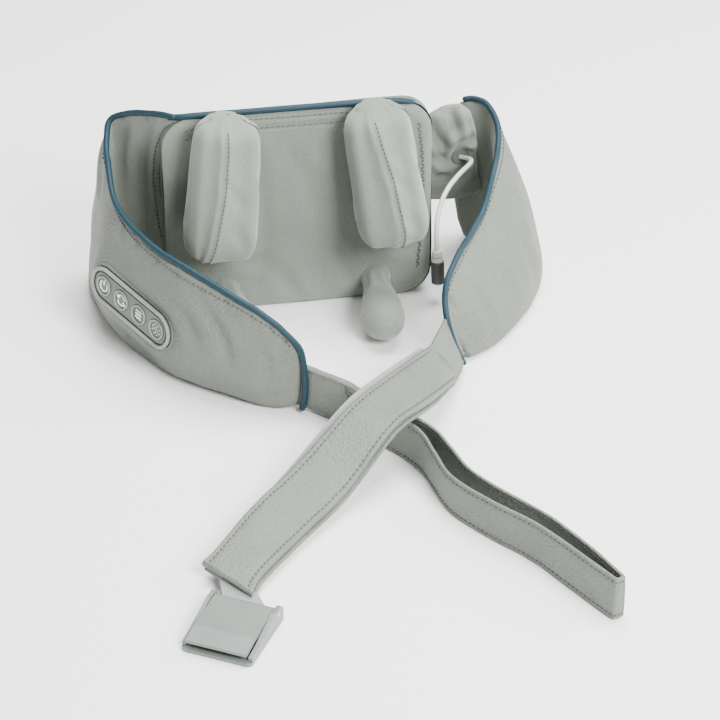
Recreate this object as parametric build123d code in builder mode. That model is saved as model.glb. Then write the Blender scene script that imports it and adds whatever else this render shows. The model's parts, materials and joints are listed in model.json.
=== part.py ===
"""Shiatsu neck massager: a U-shaped collar with two geared kneading hands, soft wings and hand loops.

Frame: X runs along the back module, -Y points out of the U to the wearer's neck, +Z is up.
The origin is the middle of the module's base, on the surface that the collar stands on.
Sizes are in millimetres and angles in degrees.
"""
from build123d import *
from math import acos, cos, degrees, pi, radians, sin, tan
import os

# ---- driving dimensions ----
MODULE_LENGTH = 220.0       # back module along X
MODULE_HEIGHT = 176.0
MODULE_FRONT_Y = -25.0      # face of the fabric front cover
MODULE_REAR_Y = 56.0
COVER_WALL = 4.5            # padded covers round the housings
HOUSING_WALL = 2.5
HOUSING_SPLIT_Y = 15.0
COVER_CORNER = 26.0
REAR_CORNER = 20.0          # the back's upright corners, seen from above
CREST_Y = -12.0             # the top is level as far back as this, then slopes down
REAR_TOP_Z = 126.0          # height of the back wall
WINDOW_WIDTH = 36.0         # room for a hand's neck over its whole swing

GEAR_MODULE = 1.5
SECTOR_TEETH = 38           # teeth of the whole circle that each arm's sector is part of
IDLER_TEETH = 24
PINION_TEETH = 12
PRESSURE_ANGLE = 20.0
BACKLASH = 0.35
GEAR_Z = 60.0
GEAR_FACE = 8.0
HAND_PIVOT_Y = 8.0
RUNNING = 0.05              # radial clearance of every shaft in its bore

KINGPIN_R = 3.0
BUSH_R = 5.0
HUB_R = 9.0
ARM_HALF = 5.0              # half the thickness of an arm's neck
BLADE_SPLAY = 7.0           # the blades' lower ends lean outwards
BLADE_MID_Z = 128.0
BLADE_HALF_WIDTH = 27.5
THUMB_Z = 20.0
THUMB_R = 17.0
THUMB_TURN = 5.0            # each thumb points inwards
SLIP = 0.3                  # gap round a piece that is cushioned or sewn in

BUTTON_COUNT = 4
BUTTON_PITCH = 22.0
BUTTON_R = 8.5
POD_WIDTH = 30.0

STRAP_LAYER = 2.6
PIPING_R = 2.2
CABLE_R = 2.0
SOCKET_R = 2.75
BUCKLE_WIDTH = 51.0
BUCKLE_LENGTH = 58.0
BUCKLE_HEIGHT = 14.0
BUCKLE_TURN = -31.0

# ---- sizes that follow ----
SECTOR_R = GEAR_MODULE * SECTOR_TEETH / 2
IDLER_R = GEAR_MODULE * IDLER_TEETH / 2
PINION_R = GEAR_MODULE * PINION_TEETH / 2
HAND_PIVOT_X = SECTOR_R + 2 * IDLER_R
PINION_X = -IDLER_R
PINION_Y = HAND_PIVOT_Y + IDLER_R + PINION_R
HOUSING_FRONT_Y = MODULE_FRONT_Y + 6.3
HOUSING_REAR_Y = MODULE_REAR_Y - COVER_WALL - 0.5
HOUSING_Z0 = COVER_WALL + 0.5
BUTTON_ROW = (BUTTON_COUNT - 1) * BUTTON_PITCH
POD_LENGTH = BUTTON_ROW + POD_WIDTH
SIDES = {"left": -1, "right": 1}

os.makedirs("parts", exist_ok=True)


def save(builder, name):
    """Label a finished piece and write its STEP file."""
    builder.part.label = name
    export_step(builder.part, f"parts/{name}.step")


def polar(radius, angle):
    return radius * cos(radians(angle)), radius * sin(radians(angle))


def involute(radius, base_radius):
    """Involute angle in degrees at a radius; it is nought inside the base circle."""
    if radius <= base_radius:
        return 0.0
    pressure = acos(base_radius / radius)
    return degrees(tan(pressure) - pressure)


def tooth_points(teeth, number, phase):
    """One involute tooth, root to tip to root, as points about the gear's own centre."""
    pitch_radius = GEAR_MODULE * teeth / 2
    base_radius = pitch_radius * cos(radians(PRESSURE_ANGLE))
    radii = [pitch_radius - 1.25 * GEAR_MODULE, pitch_radius, pitch_radius + 0.85 * GEAR_MODULE]
    half_tooth = 90.0 / teeth - degrees(BACKLASH / 2 / pitch_radius)
    flank = [half_tooth + involute(pitch_radius, base_radius) - involute(r, base_radius) for r in radii]
    middle = phase + number * 360.0 / teeth
    rising = [polar(r, middle - a) for r, a in zip(radii, flank)]
    falling = [polar(r, middle + a) for r, a in zip(radii, flank)]
    return rising + falling[::-1]


def gear_outline(teeth, phase, first=0, last=None):
    """Outline of a whole gear, or of the sector from tooth first to tooth last, back to its centre."""
    whole = last is None
    numbers = range(teeth) if whole else range(first, last + 1)
    points = [point for number in numbers for point in tooth_points(teeth, number, phase)]
    if not whole:
        points.append((0, 0))
    return points


# ---- back module: covers and housings ----
def slot_windows(side):
    """Places and sizes of one hand's two windows, in a plane that faces -Y."""
    x = SIDES[side] * HAND_PIVOT_X
    return ((x, 125.0, WINDOW_WIDTH, 62.0), (x, THUMB_Z + 1.0, WINDOW_WIDTH, 28.0))


front_face = Plane(origin=(0, MODULE_FRONT_Y, 0), x_dir=(1, 0, 0), z_dir=(0, -1, 0))
with BuildPart() as front_cover:
    with BuildSketch(front_face):
        with Locations((0, MODULE_HEIGHT / 2)):
            RectangleRounded(MODULE_LENGTH, MODULE_HEIGHT, COVER_CORNER)
        for hand in SIDES:
            for x, z, width, height in slot_windows(hand):
                with Locations((x, z)):
                    RectangleRounded(width, height, 6, mode=Mode.SUBTRACT)
    extrude(amount=-6)
    chamfer(front_cover.edges().group_by(Axis.Y)[0], 1.5)
save(front_cover, "front_cover")

side_face = Plane(origin=(0, 0, 0), x_dir=(0, 1, 0), z_dir=(1, 0, 0))
DIVIDE_Y = MODULE_FRONT_Y + 6       # where the front panel meets the rear cover


def module_block(inset, start_y, end_y=MODULE_REAR_Y):
    """The module's wedge form set in by a wall, between two Y planes: level crest and sloping top."""
    with BuildPart() as block:
        with BuildSketch(Plane(origin=(0, start_y, 0), x_dir=(1, 0, 0), z_dir=(0, -1, 0))):
            with Locations((0, MODULE_HEIGHT / 2)):
                RectangleRounded(MODULE_LENGTH - 2 * inset, MODULE_HEIGHT - 2 * inset, COVER_CORNER - inset)
        extrude(amount=start_y - end_y)
        with BuildSketch(side_face):
            with BuildLine():
                Polyline((2 * MODULE_FRONT_Y, 0), (2 * MODULE_FRONT_Y, MODULE_HEIGHT),
                         (CREST_Y, MODULE_HEIGHT),
                         (MODULE_REAR_Y, REAR_TOP_Z), (MODULE_REAR_Y, 0), close=True)
            make_face()
            fillet(vertices().group_by(Axis.Y)[-1].sort_by(Axis.Z)[-1], 22)
            offset(amount=-inset)
        extrude(amount=MODULE_LENGTH, both=True, mode=Mode.INTERSECT)
        with BuildSketch(Plane.XY):
            Rectangle(MODULE_LENGTH - 2 * inset, 2 * (MODULE_REAR_Y - inset))
            fillet(vertices().group_by(Axis.Y)[-1], REAR_CORNER - inset)
        extrude(amount=MODULE_HEIGHT, mode=Mode.INTERSECT)
    return block.part


cover_outside = module_block(0, DIVIDE_Y)
cover_inside = module_block(COVER_WALL, DIVIDE_Y)
with BuildPart() as rear_cover:
    add(cover_outside)
    add(cover_inside, mode=Mode.SUBTRACT)
save(rear_cover, "rear_cover")


housing_face = Plane(origin=(0, HOUSING_FRONT_Y, 0), x_dir=(1, 0, 0), z_dir=(0, -1, 0))
split_face = Plane(origin=(0, HOUSING_SPLIT_Y, 0), x_dir=(1, 0, 0), z_dir=(0, -1, 0))
rear_face = Plane(origin=(0, HOUSING_REAR_Y, 0), x_dir=(1, 0, 0), z_dir=(0, -1, 0))
SCREW_R = 1.5
SCREW_HEAD_R = 3.0
SCREW_SPOTS = [(-88, HOUSING_Z0 + 11), (0, HOUSING_Z0 + 11), (88, HOUSING_Z0 + 11), (-92, 106), (92, 106)]
HOUSING_INSET = COVER_WALL + 0.5
PIN_SOCKET = 12.0
PIN_Z0 = HOUSING_Z0 + HOUSING_WALL + 1
PIN_Z1 = 146.0
front_outside = module_block(HOUSING_INSET, HOUSING_FRONT_Y, HOUSING_SPLIT_Y)
front_inside = module_block(HOUSING_INSET + HOUSING_WALL, HOUSING_FRONT_Y + HOUSING_WALL, HOUSING_SPLIT_Y)
with BuildPart() as front_housing:
    add(front_outside)
    add(front_inside, mode=Mode.SUBTRACT)
    with BuildSketch(housing_face):
        for hand in SIDES:
            for x, z, width, height in slot_windows(hand):
                with Locations((x, z)):
                    RectangleRounded(width, height, 5)
    extrude(amount=-HOUSING_WALL * 2, mode=Mode.SUBTRACT)
    for boss_z, height in ((HOUSING_Z0 + 1, PIN_SOCKET), (PIN_Z1 + 2.5, -PIN_SOCKET)):
        with BuildSketch(Plane.XY.offset(boss_z)):
            with Locations((-HAND_PIVOT_X, HAND_PIVOT_Y), (HAND_PIVOT_X, HAND_PIVOT_Y)):
                Circle(KINGPIN_R + 3)
        extrude(amount=height)
    with BuildSketch(split_face.offset(HOUSING_SPLIT_Y - HOUSING_FRONT_Y - 1)):
        with Locations(*SCREW_SPOTS):
            Circle(4)
    extrude(amount=-(HOUSING_SPLIT_Y - HOUSING_FRONT_Y - 1))
    with BuildSketch(split_face):
        with Locations(*SCREW_SPOTS):
            Circle(SCREW_R)
    extrude(amount=12, mode=Mode.SUBTRACT)
    with BuildSketch(Plane.XY.offset(PIN_Z0)):
        with Locations((-HAND_PIVOT_X, HAND_PIVOT_Y), (HAND_PIVOT_X, HAND_PIVOT_Y)):
            Circle(KINGPIN_R)
    extrude(amount=PIN_Z1 - PIN_Z0, mode=Mode.SUBTRACT)
save(front_housing, "front_housing")

rear_outside = module_block(HOUSING_INSET, HOUSING_SPLIT_Y)
rear_inside = module_block(HOUSING_INSET + HOUSING_WALL, HOUSING_SPLIT_Y)
with BuildPart() as rear_housing:
    add(rear_outside)
    add(rear_inside, mode=Mode.SUBTRACT)
    with BuildSketch(split_face):
        with Locations(*SCREW_SPOTS):
            Circle(4)
    extrude(amount=-(HOUSING_REAR_Y - HOUSING_SPLIT_Y - 1))
    with BuildSketch(split_face):
        with Locations(*SCREW_SPOTS):
            Circle(SCREW_R + 0.2)
    extrude(amount=-(HOUSING_REAR_Y - HOUSING_SPLIT_Y), mode=Mode.SUBTRACT)
    with BuildSketch(rear_face):
        with Locations(*SCREW_SPOTS):
            Circle(SCREW_HEAD_R + 0.2)
    extrude(amount=2, mode=Mode.SUBTRACT)
save(rear_housing, "rear_housing")

with BuildPart() as housing_screws:
    with BuildSketch(rear_face.offset(0.2)):
        with Locations(*SCREW_SPOTS):
            Circle(SCREW_HEAD_R)
    extrude(amount=1.8)
    with BuildSketch(rear_face.offset(0.2)):
        with Locations(*SCREW_SPOTS):
            Circle(SCREW_R)
    extrude(amount=HOUSING_REAR_Y - HOUSING_SPLIT_Y + 10)
save(housing_screws, "housing_screws")

with BuildPart() as heating_film:
    with BuildSketch(housing_face.offset(0.3)):
        with Locations((0, 100)):
            RectangleRounded(88, 120, 8)
    extrude(amount=-0.2)
save(heating_film, "heating_film")

# ---- kneading hands: arms with gear sectors, blades and thumbs ----
HUB_Z0 = PIN_Z0 + PIN_SOCKET
HUB_Z1 = PIN_Z1 - PIN_SOCKET
PAD_FRONT = 88.0            # the blade's nose, measured forwards from Y = 0 as the rest are
PAD_ROOT = 31.6
CORE_FRONT = 68.0
NECK_END = PAD_ROOT - 0.4
THUMB_ROOT = 31.0
THUMB_DOME = 98.0


def hand_column(side, z=0.0):
    """Plane on a hand's kingpin, facing up."""
    return Plane(origin=(SIDES[side] * HAND_PIVOT_X, HAND_PIVOT_Y, z))


def blade_side(side):
    """Plane through a blade's middle; X runs forwards and Y runs up the blade."""
    lean = radians(BLADE_SPLAY) * SIDES[side]
    return Plane(origin=(SIDES[side] * HAND_PIVOT_X, 0, BLADE_MID_Z),
                 x_dir=(0, -1, 0), z_dir=(-cos(lean), 0, -sin(lean)))


def blade_section(side):
    """Plane across a blade, facing up it; X runs sideways and Y runs backwards."""
    lean = radians(BLADE_SPLAY) * SIDES[side]
    return Plane(origin=(SIDES[side] * HAND_PIVOT_X, 0, BLADE_MID_Z),
                 x_dir=(cos(lean), 0, sin(lean)), z_dir=(-sin(lean), 0, cos(lean)))


def thumb_side(side):
    """Plane through a thumb's axis; X runs forwards along the thumb and Y runs up."""
    turn = radians(THUMB_TURN) * SIDES[side]
    return Plane(origin=(SIDES[side] * HAND_PIVOT_X, 0, THUMB_Z),
                 x_dir=(-sin(turn), -cos(turn), 0), z_dir=(-cos(turn), sin(turn), 0))


for hand, sign in SIDES.items():
    first, last, phase = (-3, 3, 0.0) if sign < 0 else (-4, 3, 180.0 + 180.0 / SECTOR_TEETH)
    with BuildPart() as arm:
        with BuildSketch(hand_column(hand, HUB_Z0)):
            Circle(HUB_R)
        extrude(amount=HUB_Z1 - HUB_Z0)
        with BuildSketch(hand_column(hand, GEAR_Z)):
            with BuildLine():
                Polyline(*gear_outline(SECTOR_TEETH, phase, first, last), close=True)
            make_face()
        extrude(amount=GEAR_FACE)
        with BuildSketch(Plane(origin=(sign * HAND_PIVOT_X, 0, 0), x_dir=(0, -1, 0), z_dir=(-1, 0, 0))):
            with BuildLine():
                Polyline((-HAND_PIVOT_Y, 98), (NECK_END, 104), (NECK_END, 146), (10, HUB_Z1),
                         (-HAND_PIVOT_Y, HUB_Z1), close=True)
            make_face()
            with BuildLine():
                Polyline((-HAND_PIVOT_Y, HUB_Z0), (THUMB_ROOT, THUMB_Z - 4.5), (THUMB_ROOT, THUMB_Z + 4.5),
                         (-HAND_PIVOT_Y, HUB_Z0 + 18), close=True)
            make_face()
            with Locations((12, 119)):
                SlotOverall(20, 12, rotation=90, mode=Mode.SUBTRACT)
        extrude(amount=ARM_HALF, both=True)
        with BuildSketch(thumb_side(hand)):
            with BuildLine():
                Polyline((THUMB_ROOT - 1.5, 0), (THUMB_ROOT - 1.5, 8), (THUMB_DOME - 14, 9),
                         (THUMB_DOME - 6, 5),
                         (THUMB_DOME - 6, 0), close=True)
            make_face()
        revolve(axis=Axis(thumb_side(hand).origin, thumb_side(hand).x_dir))
        with BuildSketch(hand_column(hand, HUB_Z0 - HUB_R)):
            Circle(BUSH_R)
        extrude(amount=HUB_Z1 - HUB_Z0 + HUB_R, mode=Mode.SUBTRACT)
    save(arm, f"{hand}_arm")

    with BuildPart() as bushes:
        for bush_z in (HUB_Z0, HUB_Z1 - 14):
            with BuildSketch(hand_column(hand, bush_z)):
                Circle(BUSH_R)
                Circle(KINGPIN_R + RUNNING, mode=Mode.SUBTRACT)
            extrude(amount=14)
    save(bushes, f"{hand}_bushes")

    with BuildPart() as kingpin:
        with BuildSketch(hand_column(hand, PIN_Z0)):
            Circle(KINGPIN_R)
        extrude(amount=PIN_Z1 - PIN_Z0)
        chamfer(kingpin.edges(), 0.5)
    save(kingpin, f"{hand}_kingpin")

    with BuildPart() as blade_core:
        with BuildSketch(blade_side(hand)):
            with BuildLine():
                Polyline((NECK_END, -26), (50, -42), (CORE_FRONT, -40), (CORE_FRONT - 20, 46),
                         (40, 46), (NECK_END, 22), close=True)
            make_face()
            with GridLocations(0, 22, 1, 3):
                with Locations((48, 0)):
                    Circle(5, mode=Mode.SUBTRACT)
        extrude(amount=ARM_HALF, both=True)
    save(blade_core, f"{hand}_blade_core")

    with BuildPart() as blade_pad:
        with BuildSketch(blade_section(hand).offset(-54)):
            with BuildLine():
                Polyline((12, -PAD_ROOT), (BLADE_HALF_WIDTH, -47), (BLADE_HALF_WIDTH, -74),
                         (0, -PAD_FRONT - 2),
                         (-BLADE_HALF_WIDTH, -74), (-BLADE_HALF_WIDTH, -47), (-12, -PAD_ROOT), close=True)
            make_face()
            fillet(vertices().sort_by(Axis.Y)[:5], 8)
        extrude(amount=112)
        with BuildSketch(blade_side(hand)):
            with BuildLine():
                Polyline((PAD_ROOT - 2, -30), (52, -52), (PAD_FRONT + 1, -52), (62, 54), (PAD_ROOT - 2, 56),
                         close=True)
            make_face()
            fillet(vertices().sort_by(Axis.X)[-3:], 14)
        extrude(amount=BLADE_HALF_WIDTH + 5, both=True, mode=Mode.INTERSECT)
        with BuildSketch(blade_side(hand)):
            with BuildLine():
                Polyline((PAD_ROOT - 4, -28), (49, -43), (CORE_FRONT + 1, -43), (CORE_FRONT - 19, 47),
                         (39, 47), (PAD_ROOT - 4, 32), close=True)
            make_face()
        extrude(amount=ARM_HALF + SLIP, both=True, mode=Mode.SUBTRACT)
    save(blade_pad, f"{hand}_blade_pad")

    with BuildPart() as thumb_pad:
        with BuildSketch(thumb_side(hand)):
            with BuildLine():
                Polyline((THUMB_DOME + THUMB_R, 0), (THUMB_DOME - 5, 0), (THUMB_DOME - 5, 5.5),
                         (THUMB_DOME - 13, 9.5), (THUMB_ROOT, 9.5), (THUMB_ROOT, 11.5), (52, 12.5),
                         (THUMB_DOME - 16, THUMB_R))
                Line((THUMB_DOME - 16, THUMB_R), (THUMB_DOME, THUMB_R))
                RadiusArc((THUMB_DOME, THUMB_R), (THUMB_DOME + THUMB_R, 0), THUMB_R)
            make_face()
        revolve(axis=Axis(thumb_side(hand).origin, thumb_side(hand).x_dir))
    save(thumb_pad, f"{hand}_thumb_pad")

# ---- drive: chassis, idlers, gearmotor ----
CHASSIS_Z = 53.0
CHASSIS_T = 4.0
UPPER_Z = 72.0
IDLER_PIN_R = 2.5
SHAFT_R = 2.5
with BuildPart() as drive_chassis:
    with BuildSketch(Plane.XY.offset(CHASSIS_Z)):
        with Locations((0, 17)):
            RectangleRounded(70, 60, 6)
        with Locations((PINION_X, PINION_Y)):
            Circle(SHAFT_R + 1, mode=Mode.SUBTRACT)
    extrude(amount=CHASSIS_T)
    with BuildSketch(Plane.XY.offset(UPPER_Z)):
        with Locations((0, HAND_PIVOT_Y)):
            RectangleRounded(64, 42, 6)
    extrude(amount=CHASSIS_T)
    with BuildSketch(Plane.XY.offset(CHASSIS_Z)):
        with Locations((0, HAND_PIVOT_Y - 18), (0, HAND_PIVOT_Y + 18)):
            Circle(2.6)
    extrude(amount=UPPER_Z - CHASSIS_Z)
    with BuildSketch(Plane.XY.offset(CHASSIS_Z)):
        with Locations((-IDLER_R, HAND_PIVOT_Y), (IDLER_R, HAND_PIVOT_Y)):
            Circle(IDLER_PIN_R)
    extrude(amount=UPPER_Z + CHASSIS_T - CHASSIS_Z, mode=Mode.SUBTRACT)
save(drive_chassis, "drive_chassis")

with BuildPart() as idler_pins:
    with BuildSketch(Plane.XY.offset(CHASSIS_Z)):
        with Locations((-IDLER_R, HAND_PIVOT_Y), (IDLER_R, HAND_PIVOT_Y)):
            Circle(IDLER_PIN_R)
    extrude(amount=UPPER_Z + CHASSIS_T - CHASSIS_Z)
save(idler_pins, "idler_pins")

for name, x, phase in (("left_idler", -IDLER_R, 180.0 / IDLER_TEETH), ("right_idler", IDLER_R, 0.0)):
    with BuildPart() as idler:
        with BuildSketch(Plane(origin=(x, HAND_PIVOT_Y, GEAR_Z))):
            with BuildLine():
                Polyline(*gear_outline(IDLER_TEETH, phase), close=True)
            make_face()
            with PolarLocations(10.5, 6):
                Circle(2.6, mode=Mode.SUBTRACT)
        extrude(amount=GEAR_FACE)
        with BuildSketch(Plane(origin=(x, HAND_PIVOT_Y, GEAR_Z - 2))):
            Circle(5.5)
        extrude(amount=GEAR_FACE + 5)
        with BuildSketch(Plane(origin=(x, HAND_PIVOT_Y, GEAR_Z - 2))):
            Circle(IDLER_PIN_R + RUNNING)
        extrude(amount=GEAR_FACE + 5, mode=Mode.SUBTRACT)
    save(idler, name)

pinion_column = Plane(origin=(PINION_X, PINION_Y, 0))
with BuildPart() as motor_pinion:
    with BuildSketch(pinion_column.offset(GEAR_Z - 0.5)):
        with BuildLine():
            Polyline(*gear_outline(PINION_TEETH, 30.0), close=True)
        make_face()
        Circle(SHAFT_R, mode=Mode.SUBTRACT)
    extrude(amount=GEAR_FACE + 1)
save(motor_pinion, "motor_pinion")

GEARBOX_R = 12.0
GEARBOX_Z = 31.0
with BuildPart() as output_shaft:
    with BuildSketch(pinion_column.offset(GEARBOX_Z + 8)):
        Circle(SHAFT_R)
    extrude(amount=GEAR_Z + GEAR_FACE + 2 - GEARBOX_Z - 8)
    chamfer(output_shaft.edges().group_by(Axis.Z)[-1], 0.5)
save(output_shaft, "output_shaft")

with BuildPart() as gearbox:
    with BuildSketch(pinion_column.offset(GEARBOX_Z)):
        Circle(GEARBOX_R)
    extrude(amount=CHASSIS_Z - GEARBOX_Z)
    with BuildSketch(pinion_column.offset(GEARBOX_Z + 7.5)):
        Circle(SHAFT_R + RUNNING)
    extrude(amount=CHASSIS_Z - GEARBOX_Z, mode=Mode.SUBTRACT)
save(gearbox, "gearbox")

with BuildPart() as motor_can:
    with BuildSketch(pinion_column.offset(HOUSING_Z0 + HOUSING_WALL + 2)):
        Circle(GEARBOX_R - 0.5)
    extrude(amount=GEARBOX_Z - HOUSING_Z0 - HOUSING_WALL - 2)
    chamfer(motor_can.edges().group_by(Axis.Z)[0], 1.5)
save(motor_can, "motor_can")

# ---- power and control inside the module ----
CELL_R = 9.2
CELL_LENGTH = 65.0
CELL_Y = HOUSING_REAR_Y - HOUSING_WALL - CELL_R - 2.5
CELL_Z = 99.0
with BuildPart() as battery_cells:
    with BuildSketch(Plane(origin=(-CELL_LENGTH / 2, CELL_Y, CELL_Z), x_dir=(0, 1, 0), z_dir=(1, 0, 0))):
        with GridLocations(1, 2 * CELL_R + 0.6, 1, 2):
            Circle(CELL_R)
    extrude(amount=CELL_LENGTH)
save(battery_cells, "battery_cells")

with BuildPart() as battery_tray:
    with BuildSketch(Plane.XZ.offset(-(HOUSING_REAR_Y - HOUSING_WALL - 0.2))):
        with Locations((0, CELL_Z)):
            RectangleRounded(CELL_LENGTH + 6, 4 * CELL_R + 6, 3)
    extrude(amount=14)
    with BuildSketch(Plane.XZ.offset(-(CELL_Y + CELL_R + 0.3))):
        with Locations((0, CELL_Z)):
            RectangleRounded(CELL_LENGTH + 2, 4 * CELL_R + 2, 2)
    extrude(amount=30, mode=Mode.SUBTRACT)
save(battery_tray, "battery_tray")

with BuildPart() as main_board:
    with BuildSketch(Plane.XZ.offset(-(HOUSING_REAR_Y - HOUSING_WALL - 6))):
        with Locations((68, 60)):
            Rectangle(52, 70)
            with GridLocations(44, 62, 2, 2):
                Circle(1.6, mode=Mode.SUBTRACT)
    extrude(amount=1.6)
save(main_board, "main_board")

with BuildPart() as board_parts:
    with BuildSketch(Plane.XZ.offset(-(HOUSING_REAR_Y - HOUSING_WALL - 7.6))):
        with Locations((60, 74)):
            Rectangle(12, 12)
        with Locations((78, 48), (78, 62)):
            Circle(4)
    extrude(amount=6)
save(board_parts, "board_parts")

# ---- soft wings that wrap the shoulders ----
def band(level, outer, inner):
    """Closed band between two smooth outlines, drawn on a horizontal plane."""
    with BuildSketch(Plane.XY.offset(level)) as sketch:
        with BuildLine():
            Spline(*outer)
            Line(outer[-1], inner[-1])
            Spline(*inner[::-1])
            Line(inner[0], outer[0])
        make_face()
    return sketch.sketch


WING_START = MODULE_LENGTH / 2 + 0.5
left_inner = [(-WING_START, 34), (-136, 35), (-146, 15), (-134, -30), (-92, -112), (-24, -160)]
left_bands = [
    band(0, [(-WING_START, 56), (-150, 58), (-169, 38), (-157, -34), (-110, -126), (-30, -181)], left_inner),
    band(52, [(-WING_START, 58), (-154, 62), (-177, 40), (-165, -38), (-118, -133), (-32, -187)], left_inner),
    band(152, [(-WING_START, 55), (-142, 54), (-154, 36), (-150, -30), (-106, -122), (-26, -178)],
         left_inner),
]
POD_PLANE = Plane(origin=(-142.0, -91.0, 50.0), x_dir=(0.54, -0.82, -0.17), z_dir=(-0.83, -0.55, 0.10))
with BuildPart() as left_wing:
    loft(left_bands, ruled=True)
    with BuildSketch(side_face):
        with BuildLine():
            Polyline((70, 0), (70, 148), (46, 146), (-25, 112), (-95, 101), (-155, 94), (-200, 90), (-200, 0),
                     close=True)
        make_face()
    extrude(amount=200, both=True, mode=Mode.INTERSECT)
    with BuildSketch(Plane.XZ):
        with BuildLine():
            Polyline((-200, 0), (-200, 160), (-90, 160), (-88, 97), (-54, 88), (-34, 74), (-24, 56),
                     (-21, 36), (-25, 0), close=True)
        make_face()
    extrude(amount=200, both=True, mode=Mode.INTERSECT)
    with BuildSketch(POD_PLANE.offset(-10)):
        SlotOverall(POD_LENGTH + 0.6, POD_WIDTH + 0.6)
    extrude(amount=24, mode=Mode.SUBTRACT)
save(left_wing, "left_wing")

right_low = band(0, [(186, 66), (210, 34), (206, -18), (170, -80), (121, -139)],
                 [(170, 56), (190, 30), (187, -14), (155, -70), (108, -125)])
right_high = band(135, [(164, 66), (174, 38), (164, -4), (122, -40), (77, -111)],
                  [(154, 58), (165, 34), (156, -1), (115, -35), (70, -104)])
with BuildPart() as right_wing:
    loft([right_low, right_high], ruled=True)
    with BuildSketch(side_face):
        with BuildLine():
            Polyline((70, 0), (70, 130), (41, 130), (8, 112), (-27, 106), (-50, 86), (-92, 77), (-120, 66),
                     (-134, 48), (-140, 24), (-143, 0), close=True)
        make_face()
    extrude(amount=250, both=True, mode=Mode.INTERSECT)
save(right_wing, "right_wing")

GUSSET_Y = 44.0
EYELET = (146.5, 88.0)      # X and Z of the lead's eyelet
with BuildPart() as right_gusset:
    with BuildSketch(Plane.XZ.offset(-GUSSET_Y)):
        with BuildLine():
            Polyline((WING_START, 52), (162, 52), (152, 127), (137, 137), (122, 128), (114, 113),
                     (WING_START, 120), close=True)
        make_face()
        with Locations(EYELET):
            Circle(4.2, mode=Mode.SUBTRACT)
    extrude(amount=-8)
save(right_gusset, "right_gusset")

with BuildPart() as cable_grommet:
    with BuildSketch(Plane.XZ.offset(-GUSSET_Y - 8)):
        with Locations(EYELET):
            Circle(4.0)
    extrude(amount=8.5)
    with BuildSketch(Plane.XZ.offset(-GUSSET_Y + 0.1)):
        with Locations(EYELET):
            Circle(7.5)
    extrude(amount=2)
    chamfer(cable_grommet.edges().group_by(Axis.Y)[0], 0.8)
save(cable_grommet, "cable_grommet")


# ---- piping sewn along the top edges ----
def piping(name, route, radii):
    with BuildPart() as tube:
        with BuildLine():
            path = FilletPolyline(*route, radius=radii)
        with BuildSketch(Plane(origin=route[0], z_dir=path % 0)):
            Circle(PIPING_R)
        sweep()
    save(tube, name)


piping("left_piping",
       [(-150, 46, 150), (-153, 20, 141), (-149, -30, 117), (-132, -85, 106), (-105, -130, 101),
        (-66, -162, 95), (-38, -178, 82), (-20, -184, 60), (-20, -184, 20)],
       [20, 30, 30, 30, 30, 20, 12])
piping("back_piping",
       [(-80, -24, MODULE_HEIGHT + 2.5), (-20, -21, MODULE_HEIGHT + 2.5), (60, -21, MODULE_HEIGHT + 2.5),
        (88, -23, MODULE_HEIGHT + 2.3)],
       [60, 40])
piping("right_piping",
       [(160, 62, 133), (166, 40, 133.5), (168, 12, 116.5), (158, -24, 109.5), (139, -52, 88), (114, -92, 80),
        (98, -118, 69)],
       [20, 20, 20, 20, 20])

# ---- control pod on the left wing ----
button_spots = [((i - (BUTTON_COUNT - 1) / 2) * BUTTON_PITCH, 0) for i in range(BUTTON_COUNT)]
with BuildPart() as control_bezel:
    with BuildSketch(POD_PLANE.offset(-1)):
        SlotOverall(POD_LENGTH, POD_WIDTH)
        with Locations(*button_spots):
            Circle(BUTTON_R + 0.4, mode=Mode.SUBTRACT)
    extrude(amount=4)
    with BuildSketch(POD_PLANE.offset(1.5)):
        SlotOverall(POD_LENGTH - 5, POD_WIDTH - 5)
        SlotOverall(POD_LENGTH - 8, POD_WIDTH - 8, mode=Mode.SUBTRACT)
    extrude(amount=2, mode=Mode.SUBTRACT)
save(control_bezel, "control_bezel")

for i, spot in enumerate(button_spots):
    with BuildPart() as button:
        with BuildSketch(POD_PLANE.offset(0.2)):
            with Locations(spot):
                Circle(BUTTON_R)
        extrude(amount=3.4)
        with BuildSketch(POD_PLANE.offset(2.8)):
            with Locations(spot):
                Circle(BUTTON_R - 1.6)
        extrude(amount=2, mode=Mode.SUBTRACT)
        chamfer(button.faces().sort_by(Axis(POD_PLANE.origin, POD_PLANE.z_dir))[-1].edges(), 0.5)
    save(button, f"button_{i + 1}")

with BuildPart() as keypad_membrane:
    with BuildSketch(POD_PLANE.offset(-2)):
        SlotOverall(POD_LENGTH - 2, POD_WIDTH - 2)
    extrude(amount=0.9)
    with BuildSketch(POD_PLANE.offset(-1.1)):
        with Locations(*button_spots):
            Circle(2)
    extrude(amount=0.5)
save(keypad_membrane, "keypad_membrane")

with BuildPart() as control_board:
    with BuildSketch(POD_PLANE.offset(-5)):
        SlotOverall(POD_LENGTH - 6, POD_WIDTH - 6)
    extrude(amount=1.6)
    with BuildSketch(POD_PLANE.offset(-3.4)):
        with Locations(*button_spots):
            Rectangle(6, 6)
    extrude(amount=1.2)
save(control_board, "control_board")

with BuildPart() as pod_tray:
    with BuildSketch(POD_PLANE.offset(-9)):
        SlotOverall(POD_LENGTH, POD_WIDTH)
    extrude(amount=6.9)
    with BuildSketch(POD_PLANE.offset(-7)):
        SlotOverall(POD_LENGTH - 5, POD_WIDTH - 5)
    extrude(amount=8, mode=Mode.SUBTRACT)
save(pod_tray, "pod_tray")

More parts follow.
